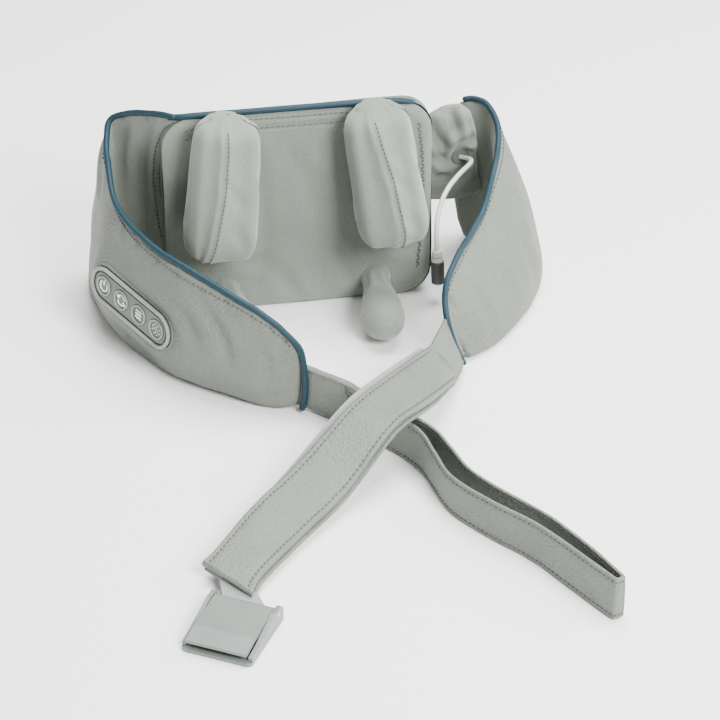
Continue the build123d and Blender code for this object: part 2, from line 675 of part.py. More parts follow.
# ---- charging lead with its in-line socket ----
CABLE_ROUTE = [(EYELET[0], GUSSET_Y - 2.1, EYELET[1]), (153.5, 34.0, 90.0), (152.0, 22.0, 92.0),
               (138.0, 4.0, 93.0), (121.0, -18.0, 89.0), (112.0, -32.0, 75.0), (110.0, -39.0, 60.0), (110.5, -40.0, 47.0)]


def bend_radii(route):
    """Arcs as large as the runs allow: 0.45 of the shorter run over the tangent of half the turn."""
    points = [Vector(*p) for p in route]
    radii = []
    for a, b, c in zip(points, points[1:], points[2:]):
        turn = radians((b - a).get_angle(c - b))
        radii.append(0.45 * min((b - a).length, (c - b).length) / tan(turn / 2))
    return radii


cable_radii = bend_radii(CABLE_ROUTE)
with BuildPart() as charging_lead:
    with BuildLine():
        cable_path = FilletPolyline(*CABLE_ROUTE, radius=cable_radii)
    with BuildSketch(Plane(origin=CABLE_ROUTE[0], z_dir=cable_path % 0)):
        Circle(CABLE_R)
    sweep()
save(charging_lead, "charging_lead")
cable_length = cable_path.length
print("lead length", round(cable_length, 1), "radii", [round(r, 1) for r in cable_radii])
print("lead volume", round(charging_lead.part.volume, 1),
      "expected", round(cable_length * pi * CABLE_R ** 2, 1))

SOCKET_PLANE = Plane(origin=CABLE_ROUTE[-1], z_dir=Vector(*CABLE_ROUTE[-1]) - Vector(*CABLE_ROUTE[-2]))
COLLAR_LENGTH = 9.0
BARREL_LENGTH = 20.0
SOCKET_DEPTH = 9.5
with BuildPart() as connector_collar:
    with BuildSketch(SOCKET_PLANE):
        Circle(3.6)
    extrude(amount=COLLAR_LENGTH, taper=-9)
    for ring in (2.2, 4.6):
        with BuildSketch(SOCKET_PLANE.offset(ring)):
            Circle(6)
            Circle(3.5, mode=Mode.SUBTRACT)
        extrude(amount=1.0, mode=Mode.SUBTRACT)
save(connector_collar, "connector_collar")

with BuildPart() as connector_barrel:
    with BuildSketch(SOCKET_PLANE.offset(COLLAR_LENGTH)):
        Circle(5.5)
    extrude(amount=BARREL_LENGTH)
    chamfer(connector_barrel.edges(), 0.6)
    with BuildSketch(SOCKET_PLANE.offset(COLLAR_LENGTH + BARREL_LENGTH - SOCKET_DEPTH)):
        Circle(SOCKET_R)
    extrude(amount=SOCKET_DEPTH + 1, mode=Mode.SUBTRACT)
save(connector_barrel, "connector_barrel")

# ---- hand loops, webbing and buckle ----
def strap_section(upper, lower, towards, drop=0.0, width=None, thick=2 * STRAP_LAYER, shift=0.0):
    """Cross-section of a flat strap between its two edge points, square to the way it runs."""
    a, b, ahead = Vector(*upper), Vector(*lower), Vector(*towards)
    across = (b - a).normalized()
    along = (ahead - across * ahead.dot(across)).normalized()
    middle = (a + b) * 0.5 + across * shift
    with BuildSketch(Plane(origin=middle, x_dir=across, z_dir=along)) as sketch:
        with Locations((0, drop)):
            Rectangle(width or (b - a).length, thick)
    return sketch.sketch


EDGES = [((77, -176, 42), (99, -178, 10)), ((37, -225, 51), (66, -244, 37)), ((2, -260, 51), (29, -286, 43)),
         ((-42, -298, 32), (-13, -323, 17)), ((-85, -338, 22), (-56, -366, 11)),
         ((-114, -374, 16), (-88, -404, 8))]
HEADINGS = [(-25, -48, 8), (-75, -84, 5), (-79, -75, -8), (-86, -80, -30), (-72, -78, -16), (-30, -36, -5)]
with BuildPart() as right_strap:
    loft([strap_section(a, b, way) for (a, b), way in zip(EDGES, HEADINGS)], ruled=True)
save(right_strap, "right_strap")

with BuildPart() as right_strap_tab:
    loft([strap_section((102, -131, 46), (116, -140, 9), (-18, -30, 0), thick=3),
          strap_section((78, -174.5, 42), (99.5, -176.5, 10), (-25, -48, 0), thick=3)], ruled=True)
save(right_strap_tab, "right_strap_tab")

BUCKLE_CENTRE = (-111.0, -446.5)
buckle_base = Plane(origin=(*BUCKLE_CENTRE, 0),
                    x_dir=(cos(radians(BUCKLE_TURN)), sin(radians(BUCKLE_TURN)), 0))
WEB_WIDTH = 25.0


def on_buckle(x, y, z):
    """A point given in the buckle's own frame: X across it, Y towards the collar, Z up."""
    return buckle_base.from_local_coords(Vector(x, y, z))


web_heading = on_buckle(0, -1, 0) - on_buckle(0, 0, 0)
WEB_THICK = 1.4
web_stations = [strap_section(a, b, way, drop=-STRAP_LAYER - 1.2, width=WEB_WIDTH, thick=WEB_THICK, shift=-5)
                for (a, b), way in zip(EDGES[1:], HEADINGS[1:])]
web_stations.append(strap_section(on_buckle(-WEB_WIDTH / 2, BUCKLE_LENGTH / 2 - 8, 4.4),
                                  on_buckle(WEB_WIDTH / 2, BUCKLE_LENGTH / 2 - 8, 4.4),
                                  web_heading, width=WEB_WIDTH, thick=WEB_THICK))
with BuildPart() as elastic_webbing:
    loft(web_stations, ruled=True)
save(elastic_webbing, "elastic_webbing")

LEFT_STRAP_HEIGHT = 34.0
FOLD = 3.0                  # the loop's inside stops this far before its folded end
FRONT_LAYER = [(6, -209), (47, -276), (60, -338), (104, -402), (141, -474)]
BACK_LAYER = [(12, -206), (60, -272), (77, -332), (117, -395), (150, -470)]
inwards = Vector(0.86, 0.5) * STRAP_LAYER
front_inside = [Vector(*p) + inwards for p in FRONT_LAYER]
back_inside = [Vector(*p) - inwards for p in BACK_LAYER]
for line in (front_inside, back_inside):
    line[-1] += (line[-2] - line[-1]).normalized() * FOLD
loop_root = Vector(*BACK_LAYER[0]) - Vector(*FRONT_LAYER[0])
front_inside[0] = Vector(*FRONT_LAYER[0]) + loop_root * 0.4
back_inside[0] = Vector(*BACK_LAYER[0]) - loop_root * 0.4
with BuildPart() as left_strap:
    with BuildSketch():
        with BuildLine():
            Spline(*FRONT_LAYER)
            Line(FRONT_LAYER[-1], BACK_LAYER[-1])
            Line(BACK_LAYER[-1], back_inside[-1])
            Line(back_inside[-1], front_inside[-1])
            Spline(*front_inside[::-1])
            Line(front_inside[0], FRONT_LAYER[0])
        make_face()
    extrude(amount=LEFT_STRAP_HEIGHT)
save(left_strap, "left_strap")

with BuildPart() as left_strap_return:
    with BuildSketch():
        with BuildLine():
            Spline(*BACK_LAYER)
            Line(BACK_LAYER[-1], back_inside[-1])
            Spline(*back_inside[::-1])
            Line(back_inside[0], BACK_LAYER[0])
        make_face()
    extrude(amount=LEFT_STRAP_HEIGHT)
save(left_strap_return, "left_strap_return")

with BuildPart() as left_strap_tab:
    with BuildSketch():
        with BuildLine():
            Polyline((-16.8, -190.4), (6, -209), (12, -206), (-12, -186.5), close=True)
        make_face()
    extrude(amount=LEFT_STRAP_HEIGHT + 4)
save(left_strap_tab, "left_strap_tab")

BUCKLE_WALL = 3.0
HINGE_Y = BUCKLE_LENGTH / 2 - 9
HINGE_Z = 9.0
HINGE_PIN_R = 1.5
BARREL_R = 3.6
LIP_Y = -BUCKLE_LENGTH / 2


def buckle_level(z):
    return buckle_base.offset(z)


buckle_side = Plane(origin=on_buckle(-BUCKLE_WIDTH / 2, 0, 0), x_dir=on_buckle(0, 1, 0) - on_buckle(0, 0, 0),
                    z_dir=on_buckle(1, 0, 0) - on_buckle(0, 0, 0))
with BuildPart() as buckle_frame:
    with BuildSketch(buckle_level(0)):
        RectangleRounded(BUCKLE_WIDTH, BUCKLE_LENGTH, 4)
    extrude(amount=2.6)
    with BuildSketch(buckle_side):
        with BuildLine():
            Polyline((BUCKLE_LENGTH / 2 - 2, 0), (BUCKLE_LENGTH / 2 - 2, 10), (HINGE_Y + 3, BUCKLE_HEIGHT),
                     (HINGE_Y - 6, BUCKLE_HEIGHT), (LIP_Y + 14, 7.5), (LIP_Y + 3, 6), (LIP_Y + 3, 0),
                     close=True)
        make_face()
        fillet(vertices().sort_by(Axis.Z)[-2:], 2.5)
    extrude(amount=BUCKLE_WIDTH)
    with BuildSketch(buckle_level(2.6)):
        with Locations((0, 1)):
            Rectangle(BUCKLE_WIDTH - 2 * BUCKLE_WALL, BUCKLE_LENGTH + 10)
    extrude(amount=BUCKLE_HEIGHT, mode=Mode.SUBTRACT)
    with BuildSketch(buckle_level(2)):
        with Locations((0, HINGE_Y - 16)):
            Rectangle(BUCKLE_WIDTH - 2 * BUCKLE_WALL, 2.4)
    extrude(amount=2.2)
    with BuildSketch(buckle_side):
        with Locations((HINGE_Y, HINGE_Z)):
            Circle(HINGE_PIN_R)
    extrude(amount=BUCKLE_WIDTH, mode=Mode.SUBTRACT)
save(buckle_frame, "buckle_frame")

with BuildPart() as buckle_pin:
    with BuildSketch(buckle_side):
        with Locations((HINGE_Y, HINGE_Z)):
            Circle(HINGE_PIN_R)
    extrude(amount=BUCKLE_WIDTH)
save(buckle_pin, "buckle_pin")

COVER_WIDTH = BUCKLE_WIDTH - 2 * BUCKLE_WALL - 1.0
with BuildPart() as buckle_cover:
    with BuildSketch(buckle_side.offset(BUCKLE_WALL + 0.5)):
        with BuildLine():
            Polyline((HINGE_Y, HINGE_Z + BARREL_R), (LIP_Y + 16, 11.6), (LIP_Y + 1, 9.4), (LIP_Y + 1, 7.2),
                     (LIP_Y + 16, 9.2), (HINGE_Y - 4, HINGE_Z + 0.6), (HINGE_Y, HINGE_Z), close=True)
        make_face()
        with Locations((HINGE_Y, HINGE_Z)):
            Circle(BARREL_R)
            Circle(HINGE_PIN_R + RUNNING, mode=Mode.SUBTRACT)
    extrude(amount=COVER_WIDTH)
save(buckle_cover, "buckle_cover")
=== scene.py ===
import json
from math import cos, pi, radians, sin

import bmesh
import bpy
import numpy as np
from bpy.props import FloatProperty, FloatVectorProperty, IntProperty, PointerProperty
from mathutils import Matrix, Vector, noise


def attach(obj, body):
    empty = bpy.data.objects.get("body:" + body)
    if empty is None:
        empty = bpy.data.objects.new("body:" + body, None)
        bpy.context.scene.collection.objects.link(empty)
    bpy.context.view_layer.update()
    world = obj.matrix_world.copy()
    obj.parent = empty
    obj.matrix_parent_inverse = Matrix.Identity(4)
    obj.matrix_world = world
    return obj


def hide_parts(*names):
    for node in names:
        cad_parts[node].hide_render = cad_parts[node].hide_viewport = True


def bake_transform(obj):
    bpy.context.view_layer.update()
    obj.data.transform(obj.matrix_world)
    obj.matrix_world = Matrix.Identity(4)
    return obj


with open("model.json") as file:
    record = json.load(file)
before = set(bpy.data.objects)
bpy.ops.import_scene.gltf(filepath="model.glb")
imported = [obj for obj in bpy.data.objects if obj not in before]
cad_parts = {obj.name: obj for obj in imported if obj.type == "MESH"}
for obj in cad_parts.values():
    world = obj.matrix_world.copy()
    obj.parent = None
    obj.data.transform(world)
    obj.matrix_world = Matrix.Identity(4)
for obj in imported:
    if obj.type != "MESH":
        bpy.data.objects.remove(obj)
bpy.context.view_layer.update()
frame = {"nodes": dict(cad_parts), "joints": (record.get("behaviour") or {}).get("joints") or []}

bl_info = {
    "name": "Neck massager builder",
    "version": (1, 0, 0),
    "blender": (4, 5, 0),
    "location": "View3D > Sidebar > Massager",
    "description": "Builds the covers, hands, wings, straps, lead and finishes of a shiatsu neck massager",
    "category": "Object",
}

MM = 0.001
ROOT = "collar"
SIDES = {"left": -1, "right": 1}
UP = np.array([0, 0, 1.0])
FORWARD = np.array([0, -1.0, 0])        # towards the wearer


def joint_at(name):
    """Where a joint of the frame is, in millimetres."""
    joint = next(j for j in frame["joints"] if j["name"] == name)
    return np.array(joint["pos_m"]) / MM


# ---------------------------------------------------------------- colours and sizes
def linear(code):
    """Linear colour from an sRGB hex code such as 9fa79c."""
    channels = [int(code[i:i + 2], 16) / 255 for i in (0, 2, 4)]
    return [c / 12.92 if c <= 0.04045 else ((c + 0.055) / 1.055) ** 2.4 for c in channels]


def colour(name, code, text):
    """A colour setting of the add-on."""
    return FloatVectorProperty(name=name, description=text, subtype="COLOR", size=3, min=0, max=1,
                               default=linear(code))


def length(name, size_mm, text):
    """A length setting of the add-on, given in millimetres."""
    return FloatProperty(name=name, description=text, default=size_mm * MM, min=0.05 * MM, unit="LENGTH")


class MassagerColours(bpy.types.PropertyGroup):
    knit: colour("Knit", "737970", "Soft knit of the front panel, blades and linings")
    hide: colour("Leatherette", "686e65", "Pebbled leatherette of the wings and straps")
    piping: colour("Piping", "14303a", "Blue-grey piping along the top edges")
    thread: colour("Thread", "394039", "Sewing thread")
    pod: colour("Pod plastic", "565c54", "Control pod and buttons")
    rim: colour("Pod rims", "848a81", "Raised rims of the pod and its buttons")
    icon: colour("Icon", "f1f4f1", "Symbols on the buttons")
    buckle: colour("Buckle plastic", "69716b", "Flap buckle")
    lead: colour("Lead", "c9c8c2", "White charging lead")
    barrel: colour("Barrel", "454847", "Dark barrel of the in-line socket")
    web: colour("Webbing", "8b8e8c", "White elastic webbing")


class MassagerSizes(bpy.types.PropertyGroup):
    rib: length("Knit rib", 1.5, "Spacing of the knit's ribs, coarser than the real 0.6 mm so that they show")
    pebble: length("Pebble", 1.9, "Width of one grain of the leatherette, coarser than the real 1.2 mm")
    stitch: length("Stitch", 4.2, "Length of one stitch with its gap")
    thread: length("Thread", 0.5, "Radius of the sewing thread")
    piping: length("Piping radius", 2.5, "Radius of the piping")
    lead: length("Lead diameter", 4.0, "Diameter of the charging lead")
    rows: IntProperty(name="Rows", description="Mesh rows between two control rows of a soft cover",
                      default=9, min=3, max=20)


def colours():
    return bpy.context.scene.massager_colours


def sizes():
    return bpy.context.scene.massager_sizes


# ---------------------------------------------------------------- materials
def add(tree, kind, inputs=(), **settings):
    """Adds a shader node with its settings; inputs maps a socket to a value or to another node's output."""
    made = tree.nodes.new(kind)
    for key, value in settings.items():
        setattr(made, key, value)
    for key, value in dict(inputs).items():
        if isinstance(value, bpy.types.NodeSocket):
            tree.links.new(value, made.inputs[key])
        else:
            made.inputs[key].default_value = value
    return made


def surface(name, base, roughness, **constants):
    """A Principled material with its constant sockets set; returns the material, its tree and its shader."""
    material = bpy.data.materials.new(name)
    material.use_nodes = True
    tree = material.node_tree
    shader = next(n for n in tree.nodes if n.type == "BSDF_PRINCIPLED")
    shader.inputs["Base Color"].default_value = (*base, 1)
    shader.inputs["Roughness"].default_value = roughness
    for key, value in constants.items():
        shader.inputs[key.replace("_", " ")].default_value = value
    return material, tree, shader


def tint(tree, fac, base, low, high, start=0.0, end=1.0):
    """Base colour scaled from low to high while the factor goes from start to end."""
    ramp = add(tree, "ShaderNodeValToRGB", {"Fac": fac})
    ramp.color_ramp.elements[0].color = (*[min(1, c * low) for c in base], 1)
    ramp.color_ramp.elements[1].color = (*[min(1, c * high) for c in base], 1)
    ramp.color_ramp.elements[0].position = start
    ramp.color_ramp.elements[1].position = end
    return ramp.outputs["Color"]


def roughen(tree, shader, height, strength, distance_mm, invert=False):
    """Bump from a height pattern, as deep as a distance in millimetres."""
    bump = add(tree, "ShaderNodeBump", {"Height": height, "Strength": strength,
                                        "Distance": distance_mm * MM}, invert=invert)
    tree.links.new(bump.outputs["Normal"], shader.inputs["Normal"])


def soft_knit():
    """Brushed polyester jersey: fine upright ribs, mottled yarn and a soft sheen where it turns away."""
    base = colours().knit
    material, tree, shader = surface("polyester jersey, knitted and brushed", base, 0.9, Sheen_Weight=0.3,
                                     Sheen_Roughness=0.5, Specular_IOR_Level=0.2)
    place = add(tree, "ShaderNodeTexCoord").outputs["Object"]
    ribs = add(tree, "ShaderNodeTexWave", {"Vector": place, "Scale": 2 * pi / sizes().rib / 20,
                                           "Distortion": 2.0, "Detail": 2.0, "Detail Scale": 3.0},
               bands_direction="X")
    yarn = add(tree, "ShaderNodeTexNoise", {"Vector": place, "Scale": 1 / (1.2 * MM), "Detail": 3.0})
    wear = add(tree, "ShaderNodeTexNoise", {"Vector": place, "Scale": 1 / (50 * MM), "Detail": 2.0})
    mottle = add(tree, "ShaderNodeMix", {0: 0.35, 2: yarn.outputs["Fac"], 3: wear.outputs["Fac"]})
    tree.links.new(tint(tree, mottle.outputs[0], base, 0.80, 1.16, 0.3, 0.7), shader.inputs["Base Color"])
    height = add(tree, "ShaderNodeMix", {0: 0.55, 2: ribs.outputs["Fac"], 3: yarn.outputs["Fac"]})
    roughen(tree, shader, height.outputs[0], 0.28, 0.3)
    return material


def pebbled_hide():
    """Embossed polyurethane leatherette: rounded pebbles, cloudy tone and a satin topcoat."""
    base = colours().hide
    material, tree, shader = surface("polyurethane leatherette, embossed", base, 0.5, Coat_Weight=0.05,
                                     Coat_Roughness=0.4, Specular_IOR_Level=0.35)
    place = add(tree, "ShaderNodeTexCoord").outputs["Object"]
    grain = add(tree, "ShaderNodeTexVoronoi", {"Vector": place, "Scale": 1 / sizes().pebble})
    fine = add(tree, "ShaderNodeTexNoise", {"Vector": place, "Scale": 1 / (0.7 * MM), "Detail": 2.0})
    cloud = add(tree, "ShaderNodeTexNoise", {"Vector": place, "Scale": 1 / (55 * MM), "Detail": 3.0})
    tone = add(tree, "ShaderNodeMix", {0: 0.5, 2: grain.outputs["Distance"], 3: cloud.outputs["Fac"]})
    tree.links.new(tint(tree, tone.outputs[0], base, 1.10, 0.84, 0.25, 0.75), shader.inputs["Base Color"])
    gloss = add(tree, "ShaderNodeMapRange", {"Value": cloud.outputs["Fac"], "To Min": 0.44, "To Max": 0.6})
    tree.links.new(gloss.outputs[0], shader.inputs["Roughness"])
    height = add(tree, "ShaderNodeMix", {0: 0.3, 2: grain.outputs["Distance"], 3: fine.outputs["Fac"]})
    roughen(tree, shader, height.outputs[0], 0.85, 1.0, invert=True)
    return material


def grained(name, base, roughness, grain_mm, strength, low=0.92, high=1.06, **constants):
    """A moulded, drawn or coated skin with a fine random grain of a stated size."""
    material, tree, shader = surface(name, base, roughness, **constants)
    place = add(tree, "ShaderNodeTexCoord").outputs["Object"]
    grain = add(tree, "ShaderNodeTexNoise", {"Vector": place, "Scale": 1 / (grain_mm * MM), "Detail": 3.0})
    cloud = add(tree, "ShaderNodeTexNoise", {"Vector": place, "Scale": 1 / (18 * MM), "Detail": 2.0})
    tree.links.new(tint(tree, cloud.outputs["Fac"], base, low, high, 0.3, 0.7), shader.inputs["Base Color"])
    spread = add(tree, "ShaderNodeMapRange", {"Value": cloud.outputs["Fac"], "To Min": roughness - 0.06,
                                              "To Max": min(1.0, roughness + 0.06)})
    tree.links.new(spread.outputs[0], shader.inputs["Roughness"])
    roughen(tree, shader, grain.outputs["Fac"], strength, 0.2)
    return material


def ribbed_web():
    """Woven elastic tape: lengthwise cords crossed by fine picks."""
    base = colours().web
    material, tree, shader = surface("polyester elastic, woven", base, 0.8, Sheen_Weight=0.25,
                                     Sheen_Roughness=0.4)
    uv = add(tree, "ShaderNodeUVMap").outputs["UV"]
    cords = add(tree, "ShaderNodeTexWave", {"Vector": uv, "Scale": 2 * pi / (2.2 * MM) / 20,
                                            "Distortion": 0.3}, bands_direction="Y")
    picks = add(tree, "ShaderNodeTexWave", {"Vector": uv, "Scale": 2 * pi / (1.4 * MM) / 20,
                                            "Distortion": 0.6}, bands_direction="X")
    both = add(tree, "ShaderNodeMix", {0: 0.4, 2: cords.outputs["Fac"], 3: picks.outputs["Fac"]})
    tree.links.new(tint(tree, both.outputs[0], base, 0.72, 1.05), shader.inputs["Base Color"])
    roughen(tree, shader, both.outputs[0], 0.6, 0.4)
    return material


def finish_makers():
    """Every finish by its short name, as a function that makes it."""
    c = colours()
    return {
        "knit": soft_knit,
        "hide": pebbled_hide,
        "web": ribbed_web,
        # a tight leatherette skin over cord: smooth, with a faint highlight along its crown
        "piping": lambda: grained("polyurethane piping, wrapped", c.piping, 0.55, 0.6, 0.2,
                                   Specular_IOR_Level=0.25),
        # twisted yarn: matt, with short dark twists
        "thread": lambda: grained("polyester thread, twisted", c.thread, 0.6, 0.3, 0.4, Sheen_Weight=0.2),
        # spark-eroded mould skin: matt with a faint grain
        "pod": lambda: grained("ABS, moulded and spark-eroded", c.pod, 0.42, 0.5, 0.12),
        "rim": lambda: grained("ABS, moulded and polished", c.rim, 0.34, 0.5, 0.06),
        "icon": lambda: grained("epoxy ink, pad-printed", c.icon, 0.5, 0.4, 0.05),
        "buckle": lambda: grained("acetal, moulded", c.buckle, 0.36, 0.7, 0.12),
        # soft extruded sheath: slight gloss and a little light through the skin
        "lead": lambda: grained("PVC, extruded", c.lead, 0.34, 0.8, 0.06, Subsurface_Weight=0.05),
        "barrel": lambda: grained("PVC, overmoulded", c.barrel, 0.45, 0.5, 0.15),
        "dark": lambda: grained("ABS, moulded black", linear("1c1d1f"), 0.5, 0.6, 0.1),
        "nylon": lambda: grained("glass-filled nylon, moulded", linear("c9c8be"), 0.6, 0.8, 0.25),
        "acetal": lambda: grained("acetal, moulded natural", linear("eceade"), 0.32, 0.8, 0.05),
        "steel": lambda: grained("steel, zinc plated", linear("b9bcc0"), 0.32, 0.4, 0.1, Metallic=1.0),
        "silicone": lambda: grained("silicone rubber, moulded", c.pod, 0.55, 0.5, 0.12),
        "board": lambda: grained("epoxy glass board, solder mask", linear("1f5a38"), 0.35, 0.6, 0.1),
        "chips": lambda: grained("epoxy packages, moulded", linear("202124"), 0.5, 0.4, 0.1),
        "cell": lambda: grained("PVC film, shrunk", linear("2d6fb0"), 0.25, 2.0, 0.05),
        "film": lambda: grained("polyimide film, etched", linear("b5742a"), 0.3, 1.5, 0.05),
    }


FINISHES = {}


def finish(name):
    """The material of a finish, made the first time that it is asked for."""
    if name not in FINISHES:
        FINISHES[name] = finish_makers()[name]()
    return FINISHES[name]


def dress(name, *nodes):
    """Gives CAD nodes a finish; their meshes stay as they are."""
    for node in nodes:
        thing = frame["nodes"][node]
        thing.data.materials.clear()
        thing.data.materials.append(finish(name))


# ---------------------------------------------------------------- mesh helpers, in millimetres
def smooth_line(points, per, closed=False):
    """Points on a Catmull-Rom line through the given points, per of them to a span; any trailing shape."""
    p = np.asarray(points, float)
    if closed:
        p = np.concatenate([p[-1:], p, p[:2]])
    else:
        p = np.concatenate([2 * p[:1] - p[1:2], p, 2 * p[-1:] - p[-2:-1]])
    t = (np.arange(per) / per).reshape((-1,) + (1,) * (p.ndim - 1))
    spans = []
    for a, b, c, d in zip(p, p[1:], p[2:], p[3:]):
        spans.append(0.5 * (2 * b + (c - a) * t + (2 * a - 5 * b + 4 * c - d) * t ** 2
                            + (3 * b - a - 3 * c + d) * t ** 3))
    if not closed:
        spans.append(p[-2:-1])
    return np.concatenate(spans)


def even_line(points, step):
    """The smooth line through the points, cut into equal steps."""
    line = smooth_line(points, 24)
    run = np.r_[0, np.cumsum(np.linalg.norm(np.diff(line, axis=0), axis=1))]
    at = np.linspace(0, run[-1], max(2, round(run[-1] / step) + 1))
    return np.column_stack([np.interp(at, run, line[:, k]) for k in range(3)])


def unit(v):
    v = np.asarray(v, float)
    return v / np.maximum(np.linalg.norm(v, axis=-1, keepdims=True), 1e-9)


def grid_normals(grid, closed):
    """Outward-or-inward normal at each point of an along x around grid."""
    along = np.gradient(grid, axis=0)
    if closed:
        around = np.roll(grid, -1, axis=1) - np.roll(grid, 1, axis=1)
    else:
        around = np.gradient(grid, axis=1)
    return unit(np.cross(along, around))


def grid_faces(rows, columns, closed):
    """Quads of a rows x columns grid of points; a closed one joins its last column to its first."""
    last = columns if closed else columns - 1
    return [(i * columns + j, i * columns + (j + 1) % columns, (i + 1) * columns + (j + 1) % columns,
             (i + 1) * columns + j) for i in range(rows - 1) for j in range(last)]


def mesh_piece(name, points, faces, finishes, face_finish=None, uvs=None, smooth=True):
    """A mesh object from points in millimetres, with its finishes and smooth shading."""
    mesh = bpy.data.meshes.new(name)
    mesh.from_pydata((np.asarray(points) * MM).tolist(), [], faces)
    for item in finishes:
        mesh.materials.append(finish(item))
    if face_finish is not None:
        mesh.polygons.foreach_set("material_index", np.asarray(face_finish, dtype=np.int32))
    if uvs is not None:
        layer = mesh.uv_layers.new(name="metres")
        for loop in mesh.loops:
            layer.data[loop.index].uv = uvs[loop.vertex_index]
    mesh.polygons.foreach_set("use_smooth", [smooth] * len(mesh.polygons))
    mesh.validate()
    piece = bpy.data.objects.new(name, mesh)
    bpy.context.collection.objects.link(piece)
    return piece


def tidy_normals(piece):
    """Turns every face of a closed piece outwards."""
    shell = bmesh.new()
    shell.from_mesh(piece.data)
    bmesh.ops.recalc_face_normals(shell, faces=shell.faces)
    shell.to_mesh(piece.data)
    shell.free()


def closed_loft(name, rings, per_along, per_around, finishes, pick=None, shape=None, ends=3):
    """A soft closed form through rings of control points; shape moves its grid and pick colours its faces.

    The two ends are domed over with a few shrinking rings.
    """
    control = smooth_line(np.asarray(rings, float), per_along)
    grid = np.swapaxes(smooth_line(np.swapaxes(control, 0, 1), per_around, closed=True), 0, 1)
    if shape is not None:
        grid = shape(grid)
    rows, columns = grid.shape[:2]
    caps = []
    for ring, beside in ((grid[0], grid[2]), (grid[-1], grid[-3])):
        middle = ring.mean(axis=0)
        ahead = unit(middle - beside.mean(axis=0))
        reach = np.linalg.norm(ring - middle, axis=1).mean() * 0.28
        turns = np.linspace(0, pi / 2, ends + 2)[1:-1]
        caps.append([middle + (ring - middle) * cos(t) + ahead * reach * sin(t) for t in turns]
                    + [middle + ahead * reach])
    body = np.concatenate([np.stack(caps[0][:-1][::-1]), grid, np.stack(caps[1][:-1])])
    rows = len(body)
    points = np.concatenate([body.reshape(-1, 3), [caps[0][-1], caps[1][-1]]])
    faces = grid_faces(rows, columns, True)
    first, last = rows * columns, rows * columns + 1
    faces += [(first, (j + 1) % columns, j) for j in range(columns)]
    faces += [(last, (rows - 1) * columns + j, (rows - 1) * columns + (j + 1) % columns)
              for j in range(columns)]
    kinds = None
    if pick is not None:
        kinds = [pick(f[0] // columns, f[0] % columns / columns) for f in faces[:-2 * columns]]
        kinds += [pick(0, f[2] % columns / columns) for f in faces[-2 * columns:-columns]]
        kinds += [pick(rows, f[1] % columns / columns) for f in faces[-columns:]]
    piece = mesh_piece(name, points, faces, finishes, kinds)
    tidy_normals(piece)
    return piece, grid


def distance_to_line(points, line):
    """Distance of each point from a polyline, and how far along it the nearest spot is, 0 to 1."""
    best = np.full(len(points), 1e9)
    share = np.zeros(len(points))
    spans = len(line) - 1
    for k in range(spans):
        a, b = line[k], line[k + 1]
        ab = b - a
        t = np.clip(((points - a) @ ab) / max(ab @ ab, 1e-9), 0, 1)
        d = np.linalg.norm(points - (a + t[:, None] * ab), axis=1)
        nearer = d < best
        best = np.where(nearer, d, best)
        share = np.where(nearer, (k + t) / spans, share)
    return best, share


def crease(grid, normals, line, depth, width, shoulder=0.45):
    """Presses a valley with raised shoulders into a grid along a line; both ends fade out."""
    flat = grid.reshape(-1, 3)
    d, share = distance_to_line(flat, smooth_line(line, 6))
    fade = np.sin(np.clip(share, 0.02, 0.98) * pi) ** 0.6
    x = d / width
    lift = -np.exp(-x ** 2) + shoulder * np.exp(-((x - 1.9) / 0.9) ** 2)
    return (flat + normals.reshape(-1, 3) * (depth * fade * lift)[:, None]).reshape(grid.shape)


def ripple(grid, normals, size, depth, seed, stretch=(1, 1, 1)):
    """Moves a grid in and out by smooth noise of a given feature size in millimetres."""
    flat = grid.reshape(-1, 3)
    scale = np.array(stretch, float) / size
    shift = Vector((seed * 7.3, seed * 3.1, seed * 5.7))
    lift = np.array([noise.noise(Vector(p) + shift) for p in flat * scale])
    return (flat + normals.reshape(-1, 3) * (lift * depth)[:, None]).reshape(grid.shape)


def tube(name, points, radius, finish_name, body=ROOT, sides=12):
    """A round tube along a line of points in millimetres, with rounded ends."""
    line = np.asarray(points, float)
    ahead = unit(np.gradient(line, axis=0))
    side = unit(np.cross(ahead[0], (0.3, 0.2, 1)))
    angles = np.arange(sides) * 2 * pi / sides
    radius = np.broadcast_to(radius, len(line))
    rings = []
    for p, t, r in zip(line, ahead, radius):
        side = unit(side - t * (side @ t))
        up = np.cross(t, side)
        rings.append(p + r * (np.outer(np.cos(angles), side) + np.outer(np.sin(angles), up)))
    rings = np.array(rings)
    points = np.concatenate([rings.reshape(-1, 3), [line[0] - ahead[0] * radius[0] * 0.6,
                                                    line[-1] + ahead[-1] * radius[-1] * 0.6]])
    faces = grid_faces(len(line), sides, True)
    n = len(line) * sides
    faces += [(n, (j + 1) % sides, j) for j in range(sides)]
    faces += [(n + 1, n - sides + j, n - sides + (j + 1) % sides) for j in range(sides)]
    piece = mesh_piece(name, points, faces, [finish_name])
    tidy_normals(piece)
    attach(piece, body)
    return piece


def on_surface(grid, points):
    """The points laid on a grid's surface, 2 mm apart, with the outward normals there."""
    flat = grid.reshape(-1, 3)
    outward = grid_normals(grid, True).reshape(-1, 3)
    outward *= np.sign(((flat - flat.mean(axis=0)) * outward).sum())
    line = even_line(points, 2.0)
    nearest = [int(np.argmin(((flat - p) ** 2).sum(axis=1))) for p in line]
    up = outward[nearest]
    return line + up * ((flat[nearest] - line) * up).sum(axis=1, keepdims=True), up


